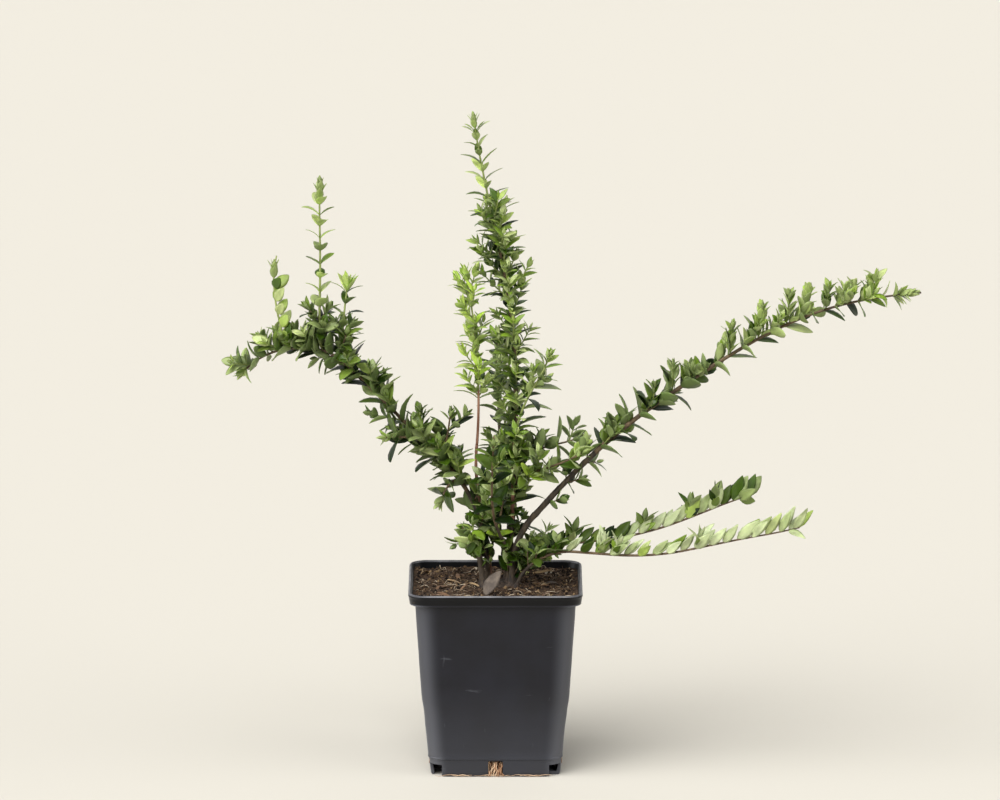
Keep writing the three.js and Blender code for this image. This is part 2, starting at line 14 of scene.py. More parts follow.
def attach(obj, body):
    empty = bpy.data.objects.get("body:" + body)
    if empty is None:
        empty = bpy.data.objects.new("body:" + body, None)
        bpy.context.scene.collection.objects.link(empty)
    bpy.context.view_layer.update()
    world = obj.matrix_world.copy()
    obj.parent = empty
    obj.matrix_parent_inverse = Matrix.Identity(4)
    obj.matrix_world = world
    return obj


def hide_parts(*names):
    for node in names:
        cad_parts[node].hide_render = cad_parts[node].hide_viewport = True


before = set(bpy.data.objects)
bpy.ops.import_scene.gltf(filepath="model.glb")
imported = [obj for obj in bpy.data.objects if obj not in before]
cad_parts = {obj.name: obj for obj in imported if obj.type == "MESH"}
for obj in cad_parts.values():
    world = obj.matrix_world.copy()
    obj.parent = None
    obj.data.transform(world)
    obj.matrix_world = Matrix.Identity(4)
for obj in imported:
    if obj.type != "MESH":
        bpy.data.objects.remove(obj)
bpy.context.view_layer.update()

MM = 0.001
PER_METRE = 1000

# Pot, as in the part's source but for its notches, which are a little larger here
POT_HEIGHT = 98.0
RIM_WIDTH = 90.0
RIM_HEIGHT = 6.0
RIM_DRAFT = 0.7
FOOT_WIDTH = 67.0
WALL_THICK = 1.2
FLOOR_THICK = 1.6
CORNER_RADIUS = 9.0
NOTCH_WIDTH = 5.8
NOTCH_HEIGHT = 6.3
NOTCH_RECESS = 7.0
SLOT_WIDTH = 7.6
SLOT_HEIGHT = 8.5
SLOT_DEPTH = 7.0
CUT_MARGIN = 1.0

# Soil and root collar, as in the part's source
CLEAR = 0.3
SOIL_TOP = 94.0
COLLAR_HEIGHT = 4.0
COLLAR_FLARE = 1.8
COLLAR_DOME = (9.5, 7.0, 2.4)
COLLAR_CENTRE = (2.0, -0.5)

# Growth, as in the part's source
SEED = 41
STEP = 2.0
TWIG_RADIUS = 0.45
TWIG_TAPER = 0.7
TWIG_OPEN = 44.0
TWIG_CURL = 12.0
TWIG_VARIES = (0.6, 1.15)
AXIL = 1.1
PAIR_PLACE = 0.6
TURN_VARIES = 0.5
LEAF_OPEN_VARIES = 16.0
LEAF_VARIES = (0.85, 1.15)
YOUNG_FROM = 0.8
YOUNG_LEAF = 0.7
LEAF_ROOT = 0.45

# How the scene's growth is carried on from the source's. Angles are in degrees and lengths in
# millimetres: the pace from pair to pair, a leaf's length, its width as a share, how blunt its
# tip is, how far it opens from the stem and curls back, the share of axils with a twig, the
# twig's length, the pace and length of the leaves along it and the length of those at its tip,
# and how far leaves stray from their even places. A comb has its leaves on one side, at two
# angles round the stem.
HABITS = {
    "upright": dict(pace=5.8, leaf=13.4, wide=0.41, blunt=0.4, open=77, curl=46, often=0.6,
                    twig=12, sprig_pace=4.0, tuft=8.6, tip=7.6, stray=14),
    "bough": dict(pace=7.0, leaf=13, wide=0.54, blunt=0.85, open=64, curl=30, often=0.5,
                  twig=10.5, sprig_pace=3.8, tuft=8.4, tip=6.6, stray=26),
    "base": dict(pace=5.4, leaf=13, wide=0.52, blunt=0.85, open=68, curl=24, often=0.5,
                 twig=10, sprig_pace=4.6, tuft=9.6, tip=7.6, stray=30),
    "comb": dict(pace=6.4, leaf=13.6, wide=0.37, blunt=0.35, open=37, curl=10, often=0.1,
                 twig=7, sprig_pace=3.6, tuft=7.5, tip=12, stray=16, lift=0.1, spire=1,
                 comb=(90, 16), face=(0.1, -1, 0.35)),
}
# What a mass has unless it says otherwise: how its pairs crowd at its foot, the share of it that
# is bare, the share of the leaves under it and of the twigs in its shade, where its twigs end,
# how far below the tip its crown begins, the crown's rings and spread, how far a twig's leaves
# open, where a tint of its own begins and ends, the share that is a dense dark thicket, where
# its reddish bark ends, and whether its stem is green. Twigs above it may be more frequent.
COMMON = dict(crowd=1.0, bare=0, below=1, shaded=0.4, twigs_end=0.88, tip_place=5.0, spire=4,
              spread=44, tuft_open=58, far=(2, 2, ""), thicket=0, red=-1, green=False)
# A comb's pairs lean to one side and the other by this.
COMB_SWAY = 24
# The uppermost leaves of an upright shoot open this much less.
TIP_OPEN = 0.66


def limb(node, to):
    return {"node": node, "to": to}


def mass(node, to, reach, light, habit, tints, **own):
    """A mass of leaves on a shoot: where it ends, its reach, how it turns up to the light, its
    habit, the tints of its old, side and young leaves, and what it has of its own."""
    old, side, young = tints.split()
    look = {"lift": light, "twig_lift": light, **COMMON, **HABITS[habit], **own,
            "old": old, "side": side, "young": young}
    return {"node": node, "to": to, "reach": reach, "habit": habit, "own": own, "look": look}


def stem(name, place, length, rise, bearing, thick, *parts):
    """A shoot that stands on the soil, or on another shoot at a share of its length."""
    return {"name": name, "on" if isinstance(place[0], str) else "foot": place,
            "length": length, "rise": rise, "bearing": bearing, "thick": thick, "parts": parts}


def side_shoot(node, place, length, rise, bearing, thick, *rest, **own):
    """A shoot that is one mass from its foot to its tip."""
    return stem(node, place, length, rise, bearing, (thick, 0.4), mass(node, 1, *rest, **own))


# Each shoot's name, place, length and headings at even stations, which are its rise above level
# and its bearing from +X towards +Y, in degrees. Then its thickness at both ends and its parts,
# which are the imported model's nodes.
SHOOTS = [
    stem("stub", (-6.2, -4.5), 17, (83,), (180,), (1.7, 1.45),
         limb("cut_stub", 1)),
    stem("left", (-3.4, 0), 206, (86, 84, 79, 66, 52, 46, 45, 46, 45, 45, 38, 4, -10, -32, -56),
         (180, 176, 172), (1.4, 0.45),
         limb("left_bough", 0.25),
         mass("left_bough_leaves", 0.72, 22, 0.2, "bough", "deep mid mid", leaf=15.5, pace=6.3,
              often=0.68, twig=15, tuft=10.8, sprig_pace=4.8, stray=36, wide=0.52, lift=0.1),
         mass("left_arch_leaves", 1, 18, 0.4, "bough", "deep mid fresh", leaf=14, pace=4.4,
              often=0.75, above=1, twig=13, tuft=9.8, below=0.8, lift=0.45, twigs_end=0.97,
              far=(0.94, 2, "fresh"))),
    stem("inner", (-2.2, 4.6), 163, (85, 84, 78, 84, 95, 91, 88, 85, 82, 79), (180,), (1, 0.4),
         limb("inner_stem", 0.45),
         mass("inner_leaves", 1, 19, 0.15, "upright", "mid lime lime", pace=7.0, often=0.55,
              twig=12, tip=8.6, bare=0.24, spire=5, tip_place=2.5, twigs_end=0.95, red=0.63,
              far=(0.3, 2, "fresh"), green=True)),
    stem("centre", (5, 4.2), 243, (83, 83, 86, 89, 89, 91, 94, 97, 100, 102, 102, 101, 98), (0,),
         (1.45, 0.4),
         limb("centre_stem", 0.14),
         mass("centre_low_leaves", 0.46, 23, 0.1, "upright", "deep mid fresh", pace=6.2, leaf=14.4,
              often=0.5, twig=13.5, wide=0.5, blunt=0.7),
         mass("centre_mid_leaves", 0.73, 22, 0.1, "upright", "deep mid fresh", pace=4.9,
              often=0.88, twig=18.5),
         mass("centre_top_leaves", 1, 16, 0.1, "upright", "deep mid fresh", pace=4.5, leaf=13.2,
              often=0.92, twig=20, crowd=1.15, spire=6, tip_place=2.5, twigs_end=0.8,
              far=(0.95, 2, "fresh"), green=True)),
    stem("front", (6, -1.2), 129, (82, 86, 88, 90, 86, 70, 56, 76), (-20,), (1.2, 0.4),
         limb("front_stem", 0.26),
         mass("front_leaves", 1, 19, 0.1, "upright", "mid fresh fresh", pace=6.4, leaf=14.2,
              wide=0.47, blunt=0.55, twig=9.5, often=0.3, red=0.6, green=True)),
    stem("right", (8.6, -5.4), 279, (93, 77, 48, 48, 45, 41, 37, 35, 34, 32, 28, 22, 15, 9, 6),
         (0, -4, -6), (1.75, 0.45),
         limb("right_bough", 0.31),
         mass("right_inner_leaves", 0.57, 20, 0.55, "bough", "deep mid mid", pace=6.6, leaf=15,
              often=0.4, above=0.8, twig=13, tuft=10, sprig_pace=4.8, lift=0.1, stray=34,
              shaded=0.8),
         mass("right_mid_leaves", 0.78, 20, 0.6, "bough", "mid fresh fresh", pace=7.8, leaf=14,
              often=0.4, above=0.9, twig=15, tuft=8, sprig_pace=3, tuft_open=50, lift=0.1,
              stray=36, below=0.9, shaded=0.9),
         mass("right_tip_leaves", 1, 18, 0.55, "bough", "mid fresh fresh", pace=6.2, leaf=12.8,
              often=0.6, above=1, twig=11.5, tuft=7.6, sprig_pace=2.7, tuft_open=50, lift=0.1,
              stray=34, shaded=0.9, spire=9, tip=8.4, tip_place=14, twigs_end=0.905)),
    stem("low_back", (9.6, 1.4), 139, (82, 25, 1, 4, 11, 18, 20, 16), (20, 14, 10), (0.9, 0.4),
         limb("low_back_stem", 0.1),
         mass("low_back_leaves", 1, 16, 0.45, "comb", "deep mid mid", leaf=12.4, pace=6.6,
              wide=0.44, blunt=0.6, far=(0.5, 0.84, "pale"))),
    stem("low_front", (10.4, -9), 160, (74, 32, -2, -2, 6, 14, 14, 12, 16), (-10, -12, -10),
         (0.9, 0.4),
         limb("low_front_stem", 0.1),
         mass("low_front_leaves", 1, 17, 0.6, "comb", "deep mid pale", leaf=14, pace=7.4,
              far=(0.42, 2, "pale"))),
    side_shoot("left_tall_leaves", ("left", 0.765), 88, (84, 92, 90, 89, 93), (180,), 0.7, 13, 0,
               "bough", "fresh fresh fresh", pace=6.4, leaf=9.6, wide=0.66, open=54, curl=42,
               often=0.0, tip=9, stray=10, twig=10, crowd=1.35, thicket=0.24, spire=7, spread=26,
               tip_place=10, green=True),
    side_shoot("left_second_leaves", ("left", 0.855), 49, (76, 78, 86, 104), (185,), 0.6, 13, 0,
               "bough", "fresh fresh fresh", pace=6.6, leaf=9.8, wide=0.62, open=48, curl=14,
               often=0.0, tip=9, stray=10, comb=(262, 42), face=(-0.3, -1, 0.1), tip_place=11,
               spread=26, spire=5, green=True),
    side_shoot("left_third_leaves", ("left", 0.71), 42, (86, 84, 80), (30,), 0.6, 13, 0, "upright",
               "mid lime lime", pace=6.0, leaf=10.5, often=0.1, twig=10, open=58, tip=11,
               thicket=0.26, tip_place=7, green=True),
    side_shoot("left_hanging_leaves", ("left", 0.415), 21, (22, 4, -2), (205, 190), 0.6, 16, 0.1,
               "base", "deep mid fresh", leaf=15.5, pace=6.6, often=0.3),
    side_shoot("left_rising_leaves", ("left", 0.36), 26, (60, 78, 84), (-40,), 0.6, 15, 0.1,
               "base", "deep mid mid", pace=7.6, often=0.15, leaf=13.6),
    side_shoot("spray_low_leaves", ("front", 0.44), 43, (22, 20, 24, 32), (-28, -16), 0.7, 16, 0.2,
               "base", "mid mid fresh", pace=7.0, often=0.4),
    side_shoot("spray_high_leaves", ("front", 0.53), 38, (10, 14, 8, 20), (24, 16), 0.7, 16, 0.2,
               "base", "mid mid mid", leaf=13.5, pace=6.6, often=0.4),
    stem("back", ("centre", 0.1), 108, (52, 62, 72, 80), (104, 92), (1, 0.4),
         limb("back_stem", 0.3),
         mass("back_leaves", 1, 19, 0.2, "upright", "deep mid fresh")),
    stem("back_low", ("centre", 0.045), 92, (60, 34, 26, 34), (88,), (0.9, 0.4),
         limb("back_low_stem", 0.25),
         mass("back_low_leaves", 1, 18, 0.4, "bough", "deep mid fresh")),
    stem("forward", ("front", 0.14), 82, (44, 50, 62, 74), (-124, -92, -80), (0.9, 0.4),
         limb("forward_stem", 0.25),
         mass("forward_leaves", 1, 18, 0.2, "upright", "deep mid mid", pace=8.6, leaf=13.6,
              wide=0.48, blunt=0.7, often=0.35, tip_place=8)),
    side_shoot("base_left_leaves", ("left", 0.1), 14, (46, 30), (215, 196), 0.6, 13, 0.2, "base",
               "deep mid mid", pace=4.0, often=0.8, open=80, lift=-0.4, twig_lift=-0.5, shaded=1),
    side_shoot("base_right_leaves", ("front", 0.11), 20, (34, 26), (-6, 4), 0.6, 13, 0.2, "base",
               "mid mid mid", pace=4.0, often=0.8, open=80, lift=-0.4, twig_lift=-0.5, shaded=1),
    side_shoot("low_mid_leaves", ("inner", 0.1), 50, (56, 78, 92), (-52,), 0.7, 15, 0.2, "base",
               "mid mid fresh", leaf=14, pace=7.4, often=0.3),
    side_shoot("low_left_leaves", ("left", 0.29), 17, (-20, -60, -76), (214, 200), 0.7, 15, 0.2,
               "base", "mid mid fresh", leaf=12.5, pace=4.6, often=0.2, wide=0.6, stray=44),
    side_shoot("inner_low_leaves", ("inner", 0.3), 34, (34, 48, 30), (150, 168), 0.6, 15, 0.1,
               "base", "deep mid mid", leaf=14.5, pace=7.0, often=0.4),
    side_shoot("inner_side_leaves", ("inner", 0.36), 30, (40, 30, 16), (-16, -8), 0.6, 15, 0.1,
               "base", "mid mid mid", leaf=14, pace=7.0, often=0.4),
]

# Leafy sprouts on the stems' bare lengths and in gaps, by the mass that they belong to: the
# shoot that bears one, the share of its length and the angle round it.
SPROUTS = {
    "low_front_leaves": (("low_front", 0.085, 80), ("low_front", 0.115, 130),
                         ("low_front", 0.15, 60), ("low_front", 0.18, 110)),
    "centre_low_leaves": (("centre", 0.095, 200), ("centre", 0.115, 285),
                          ("centre", 0.13, 160), ("inner", 0.2, 330)),
    "inner_leaves": (("inner", 0.16, 20), ("inner", 0.215, 200), ("inner", 0.25, 345),
                     ("inner", 0.3, 215)),
    "left_bough_leaves": (("left", 0.12, 350), ("left", 0.15, 200), ("left", 0.185, 15),
                          ("left", 0.215, 240), ("left", 0.6, 250), ("left", 0.64, 70),
                          ("left", 0.67, 240), ("left", 0.7, 100), ("left", 0.71, 285)),
    "left_arch_leaves": (("left", 0.73, 75), ("left", 0.75, 262), ("left", 0.78, 290)),
    "right_inner_leaves": (("right", 0.235, 70), ("right", 0.228, 262),
                           ("right", 0.178, 275), ("right", 0.29, 60), ("right", 0.282, 280)),
    "base_right_leaves": (("low_back", 0.05, 225), ("front", 0.05, 168), ("front", 0.085, 215),
                          ("front", 0.12, 140), ("centre", 0.03, 205), ("right", 0.018, 250),
                          ("centre", 0.055, 185), ("front", 0.15, 25)),
    "base_left_leaves": (("left", 0.032, 196), ("left", 0.05, 110), ("left", 0.075, 170),
                         ("inner", 0.045, 165), ("inner", 0.085, 140), ("inner", 0.065, 350),
                         ("left", 0.085, 20)),
}

# Each tint's three greens, its underside's green, its gloss and its slot
TINTS = {
    "deep": (((18, 38, 1), (38, 58, 5), (72, 92, 30)), (98, 116, 62), 0.22, "foliage_deep"),
    "mid": (((62, 88, 12), (98, 118, 44), (136, 151, 92)), (126, 142, 86), 0.38,
            "foliage_mid"),
    "fresh": (((118, 146, 42), (148, 169, 80), (172, 185, 120)), (156, 172, 106), 0.5,
              "foliage_fresh"),
    "lime": (((156, 188, 58), (178, 204, 82), (196, 213, 122)), (176, 196, 112), 0.5,
             "foliage_lime"),
    "pale": (((172, 183, 134), (183, 194, 148), (156, 170, 114)), (183, 193, 148), 0.5,
             "foliage_fresh"),
}
OLDER = {"lime": "fresh", "fresh": "mid", "mid": "deep", "deep": "deep", "pale": "fresh"}
YOUNGER = {"deep": "mid", "mid": "fresh", "fresh": "lime", "lime": "lime", "pale": "pale"}


# Numbers and directions


def roll(*keys):
    """A number from 0 to 1 that depends only on the seed and the whole numbers given."""
    whole = 0xFFFFFFFF
    value = SEED
    for key in keys:
        value = ((value ^ ((key + 0x9E3779B9) & whole)) * 0x85EBCA6B) & whole
        value ^= value >> 13
        value = (value * 0xC2B2AE35) & whole
        value ^= value >> 16
    return value / 2**32


def mix(a, b, share):
    return a + (b - a) * share


def unit(v):
    return v / math.sqrt(float(v @ v))


def across(way, wish):
    """The unit direction square to a way that lies nearest to a wish."""
    return unit(wish - (wish @ way) * way)


def cross(a, b):
    return np.array((a[1] * b[2] - a[2] * b[1], a[2] * b[0] - a[0] * b[2],
                     a[0] * b[1] - a[1] * b[0]))


def between(stations, share):
    """The value at a share of the way along a list of evenly spaced stations."""
    if len(stations) == 1:
        return stations[0]
    place = share * (len(stations) - 1)
    index = min(int(place), len(stations) - 2)
    return mix(stations[index], stations[index + 1], place - index)


def heading(rise, bearing):
    rise, bearing = math.radians(rise), math.radians(bearing)
    level = math.cos(rise)
    return np.array((level * math.cos(bearing), level * math.sin(bearing), math.sin(rise)))


UP = np.array((0.0, 0.0, 1.0))


class Path:
    """A shoot walked in even steps, with a side direction that turns no more than it does."""

    def __init__(self, foot, length, rise, bearing):
        count = max(3, int(length / STEP + 0.5))
        self.length = length
        points = [np.array(foot, float)]
        ways = [heading(rise[0], bearing[0])]
        for i in range(1, count + 1):
            middle = (i - 0.5) / count
            way = heading(between(rise, middle), between(bearing, middle))
            points.append(points[-1] + way * (length / count))
            ways.append(heading(between(rise, i / count), between(bearing, i / count)))
        sides = [across(ways[0], np.array((0.0, 1.0, 0.0)))]
        for way in ways[1:]:
            sides.append(across(way, sides[-1]))
        self.points, self.ways, self.sides = np.array(points), np.array(ways), np.array(sides)

    def at(self, share):
        """The point, the way and the side at a share of the length."""
        place = min(max(share, 0.0), 1.0) * (len(self.points) - 1)
        i = min(int(place), len(self.points) - 2)
        part = place - i
        way = unit(mix(self.ways[i], self.ways[i + 1], part))
        side = across(way, mix(self.sides[i], self.sides[i + 1], part))
        return mix(self.points[i], self.points[i + 1], part), way, side


def outward(station, around, opening, lift):
    """The direction of a side organ that leaves a shoot and turns up to the light."""
    _, way, side = station
    third = cross(way, side)
    angle = math.radians(opening)
    return unit(
        way * math.cos(angle)
        + side * (math.sin(angle) * math.cos(around))
        + third * (math.sin(angle) * math.sin(around))
        + UP * lift
    )


# Meshes


def new_object(name, data):
    made = bpy.data.objects.new(name, data)
    bpy.context.scene.collection.objects.link(made)
    return made


def new_piece(name, points, faces):
    """An object whose mesh has points in millimetres."""
    mesh = bpy.data.meshes.new(name)
    mesh.from_pydata((np.array(points) * MM).tolist(), [], faces)
    mesh.update()
    return new_object(name, mesh)


def dressed(piece, replaced=()):
    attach(piece, "root")
    if replaced:
        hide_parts(*sorted(replaced))
    return piece


class Heap:
    """Shapes of one kind, joined into one mesh, with a material index for each face."""

    def __init__(self):
        self.points = []
        self.faces = []
        self.tints = []
        self.nodes = set()
        self.count = 0

    def add(self, points, faces, tint=0, node=None):
        """Adds a shape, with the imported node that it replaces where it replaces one."""
        self.points.append(points)
        self.faces.extend([tuple(i + self.count for i in face) for face in faces])
        self.tints.extend(tint if hasattr(tint, "__len__") else [tint] * len(faces))
        self.count += len(points)
        if node:
            self.nodes.add(node)

    def build(self, name, materials, slot, smooth=True):
        """One piece of all the shapes, in the order in which they were added."""
        piece = new_piece(name, np.vstack(self.points), self.faces)
        for look in materials:
            piece.data.materials.append(look)
        piece.data.polygons.foreach_set("material_index", self.tints)
        piece.data.polygons.foreach_set("use_smooth", [smooth] * len(self.faces))
        return dressed(piece, self.nodes)


def ring(centre, way, side, radii):
    """Points round a centre, square to a way, each with its own radius."""
    third = cross(way, side)
    made = []
    for i, radius in enumerate(radii):
        angle = 2 * math.pi * i / len(radii)
        made.append(centre + side * (radius * math.cos(angle))
                    + third * (radius * math.sin(angle)))
    return made


def wall(rings, sides):
    """The faces that join closed rings of points, each to the next."""
    faces = []
    for k in range(rings - 1):
        for i in range(sides):
            a, b = k * sides + i, k * sides + (i + 1) % sides
            faces.append((a, b, b + sides, a + sides))
    return faces


def taper(low, high, path, flare=0.0):
    """A limb's radius at each share of its length, with a flare at its foot."""
    def radius(share):
        rise = min(1.0, share * path.length / COLLAR_HEIGHT)
        return mix(low, high, share) * (1 + flare * (1 - rise) ** 2)
    return radius


def tube(path, start, end, radius, sides, pace, relief=None):
    """Points and faces of a closed tube along a path, with a radius at each share."""
    span = max((end - start) * path.length, pace)
    rings = max(2, int(span / pace) + 1)
    points = []
    for k in range(rings):
        share = mix(start, end, k / (rings - 1))
        radii = [radius(share)] * sides
        if relief:
            radii = [r * relief(2 * math.pi * i / sides, share * path.length)
                     for i, r in enumerate(radii)]
        points += ring(*path.at(share), radii)
    faces = wall(rings, sides)
    last, way, _ = path.at(end)
    bottom, top = len(points), len(points) + 1
    points += [path.at(start)[0], last + way * (0.4 * radius(end))]
    base = (rings - 1) * sides
    for i in range(sides):
        faces.append((bottom, (i + 1) % sides, i))
        faces.append((top, base + i, base + (i + 1) % sides))
    return np.array(points), faces


# Leaves


def leaf_grid(rows, columns):
    """Shares along and across a blade, its faces, and whether each face is on the underside.

    The upper side has all columns and the underside all but the margins, which both share.
    """
    spots = []
    upper, under = {}, {}
    for j in range(1, rows + 1):
        along = 0.5 - 0.5 * math.cos(math.pi * j / (rows + 1))
        for i in range(columns):
            upper[j, i] = len(spots)
            spots.append((along, 2 * i / (columns - 1) - 1, 0.0))
        for i in range(columns):
            under[j, i] = upper[j, i]
            if 0 < i < columns - 1:
                under[j, i] = len(spots)
                spots.append((along, 2 * i / (columns - 1) - 1, 1.0))
    root, tip = len(spots), len(spots) + 1
    spots += [(0.0, 0.0, 0.0), (1.0, 0.0, 0.0)]
    faces, below = [], []
    for i in range(columns - 1):
        for j in range(1, rows):
            faces.append((upper[j, i], upper[j, i + 1], upper[j + 1, i + 1], upper[j + 1, i]))
            faces.append((under[j, i + 1], under[j, i], under[j + 1, i], under[j + 1, i + 1]))
            below += [0, 1]
        faces.append((root, upper[1, i + 1], upper[1, i]))
        faces.append((root, under[1, i], under[1, i + 1]))
        faces.append((upper[rows, i], upper[rows, i + 1], tip))
        faces.append((under[rows, i + 1], under[rows, i], tip))
        below += [0, 1, 0, 1]
    return np.array(spots), faces, below


FULL_LEAF = leaf_grid(6, 5)
# A leaf shorter than this has the small grid.
SMALL_UNDER = 6.5
SMALL_LEAF = leaf_grid(4, 3)


def leaf_points(grid, length, wide, blunt, curl, fold, twist, thick):
    """A blade in its own frame: x across, y along, z up from its upper side."""
    along, side, below = grid[0].T
    outline = np.sin(np.pi * np.clip(along, 0, 1) ** mix(0.72, 0.88, blunt))
    outline = np.maximum(outline, 0) ** mix(1.15, 0.62, blunt)
    stalk = 0.035 * (along > 0) * (along < 1)
    half = length * np.maximum(wide * 0.5 * outline, stalk)
    bend = np.radians(curl) * (along - 0.5)
    step = np.linspace(0, 1, 33)
    turn = np.radians(curl) * (step - 0.42)
    turn = (turn[1:] + turn[:-1]) / 2
    run = np.concatenate(([0], np.cumsum(np.cos(turn)))) / 32
    drop = np.concatenate(([0], np.cumsum(np.sin(turn)))) / 32
    y = length * np.interp(along, step, run)
    z = -length * np.interp(along, step, drop)
    x = side * half
    rise = half * (fold * np.abs(side) - 0.45 * fold * side**2)
    rise = rise - below * thick * (1 - 0.6 * np.abs(side)) * np.minimum(1, 4 * outline)
    angle = np.radians(twist) * along
    px = x * np.cos(angle) - rise * np.sin(angle)
    pz = x * np.sin(angle) + rise * np.cos(angle)
    return np.column_stack((px, y + pz * np.sin(bend), z + pz * np.cos(bend)))


def laid(points, root, way, upper):
    """A blade's points where its root is at a point, along a way, its upper side to another."""
    return (root + points[:, :1] * cross(way, upper) + points[:, 1:2] * way
            + points[:, 2:] * upper)


leaf_heaps = {tint: Heap() for tint in TINTS}
twig_heaps = {"wood": Heap(), "green": Heap(), "red": Heap()}

# How far leaves and twigs keep from the soil, the rim and other shoots' bark, how far round a
# point these shoots are looked for, and how far a length of bark runs on into the next
SOIL_GAP = 1.2
RIM_GAP = 0.8
LIMB_GAP = 0.5
LIMB_SEARCH = 2.8
SINK = 0.4
# All the shoots' points with each one's shoot and radius, to keep leaves and twigs clear of them
limb_tree = None
limb_marks = []


def is_open(points, owner):
    """Whether places are clear of the limbs, the soil and the pot's rim."""
    for point in points:
        reach = max(abs(point[0]), abs(point[1]))
        if reach < RIM_WIDTH / 2 + 1:
            if point[2] < SOIL_TOP + SOIL_GAP:
                return False
            if reach > RIM_WIDTH / 2 - 3 and point[2] < POT_HEIGHT + RIM_GAP:
                return False
        for _, index, distance in limb_tree.find_range(Vector(point), LIMB_SEARCH):
            shoot, radius = limb_marks[index]
            if shoot != owner and distance < radius + LIMB_GAP:
                return False
    return True


def is_within(point, path, reach):
    gaps = path.points - point
    return float((gaps * gaps).sum(1).min()) < reach * reach


# In what follows a home is a mass's node, its path and reach, and the shoot that bears a leaf.


def grow_leaf(home, station, around, radius, opening, lift, size, look, tint, key):
    """Adds one leaf at a station, unless it would leave its mass or touch a limb."""
    node, path, reach, owner = home
    point, way, _ = station
    around += math.radians(look["stray"]) * 2 * (roll(*key, 35) - 0.5)
    opening += look["stray"] * (roll(*key, 36) - 0.5)
    out = outward(station, around, opening, lift)
    face = way + UP * lift
    if "face" in look:
        face = np.array(look["face"]) + 0.6 * (roll(*key, 37) - 0.5) * way
    root = point + across(way, out) * (LEAF_ROOT * radius)
    tip = root + out * size
    if not is_within(tip, path, reach) or not is_open((root + out * (0.5 * size), tip), owner):
        return
    grid = SMALL_LEAF if size < SMALL_UNDER else FULL_LEAF
    wide = look["wide"] * mix(0.86, 1.14, roll(*key, 34))
    curl = look["curl"] * mix(0.4, 1.4, roll(*key, 31))
    fold = mix(0.1, 0.55, roll(*key, 32))
    twist = mix(-22, 22, roll(*key, 33))
    points = leaf_points(grid, size, wide, look["blunt"], curl, fold, twist, 0.02 * size)
    kind = int(roll(*key, 77) * len(TINTS[tint][0]))
    leaf_heaps[tint].add(laid(points, root, out, across(out, face)), grid[1],
                         [2 * kind + below for below in grid[2]], node)


def crown(home, station, look, key, lift, rings):
    """The close pairs of young leaves at a tip, ever smaller and more upright."""
    point, way, side = station
    start = roll(*key, 41) * math.pi
    young = dict(look, wide=min(look["wide"], 0.48), blunt=0.45)
    if rings > 1:
        young.pop("face", None)
    for k in range(rings):
        share = k / max(1, rings - 1)
        place = (point + way * (mix(1.9, 1.2, share) * k - 0.8), way, side)
        opening = mix(look["spread"], 10, share) + 10 * (roll(*key, 42, k) - 0.5)
        length = look["tip"] * mix(1.0, 0.62, share) * mix(0.88, 1.12, roll(*key, 44, k))
        young["curl"] = mix(30, -14, share)
        for half in (0, 1):
            around = start + k * math.pi / 2 + half * math.pi
            grow_leaf(home, place, around, 0.3, opening, 0.3 * lift, length, young,
                      look["young"], (*key, 43, k, half))


def varied(tint, chance):
    """A tint, or now and then the next older or younger one."""
    if chance < 0.2:
        return OLDER[tint]
    return YOUNGER[tint] if chance > 0.86 else tint


def sprig(home, station, around, look, length, key):
    """A side twig with pairs of leaves along it and young ones at its tip."""
    node, path, reach, owner = home
    opening = TWIG_OPEN + 20 * (roll(*key, 11) - 0.5)
    lift = look["twig_lift"]
    way = outward(station, around, opening, lift)
    light = min(1.0, max(0.0, 0.5 + 2 * float(way[2])))
    if roll(*key, 12) > mix(look["shaded"], 1, light):
        return
    rise = math.degrees(math.asin(way[2]))
    bearing = math.degrees(math.atan2(way[1], way[0]))
    own = Path(station[0], length, (rise, min(88, rise + TWIG_CURL)), (bearing,))
    if not is_open((own.points[-1],), owner) or not is_within(own.points[-1], path, reach):
        return
    bark_of = taper(TWIG_RADIUS, TWIG_RADIUS * TWIG_TAPER, own)
    heap = twig_heaps["wood" if look["side"] == "deep" else "green"]
    heap.add(*tube(own, 0, 1, bark_of, 5, 2.5), node=node)
    pairs = max(1, round(length / look["sprig_pace"]))
    for i in range(pairs):
        share = (i + PAIR_PLACE) / (pairs + 0.4)
        turn = (i % 2) * (math.pi / 2) + roll(*key, i, 1)
        size = look["tuft"] * mix(1.15, 0.9, share) * mix(*LEAF_VARIES, roll(*key, i, 2))
        tint = varied(look["side"] if share < 0.62 else look["young"], roll(*key, i, 3))
        for half in (0, 1):
            grow_leaf(home, own.at(share), turn + half * math.pi, TWIG_RADIUS,
                      look["tuft_open"], lift, size, look, tint, (*key, i, half, 5))
    crown(home, own.at(1), look, (*key, 6), lift, 2)


def tint_at(look, share, place, chance):
    """The tint of the leaves at a share of the shoot and a place in their mass."""
    begins, ends, far = look["far"]
    if place < look["thicket"]:
        return "deep"
    if begins < share + 0.2 * chance and share < ends:
        return far
    return look["side"] if share > 0.9 else look["old"]


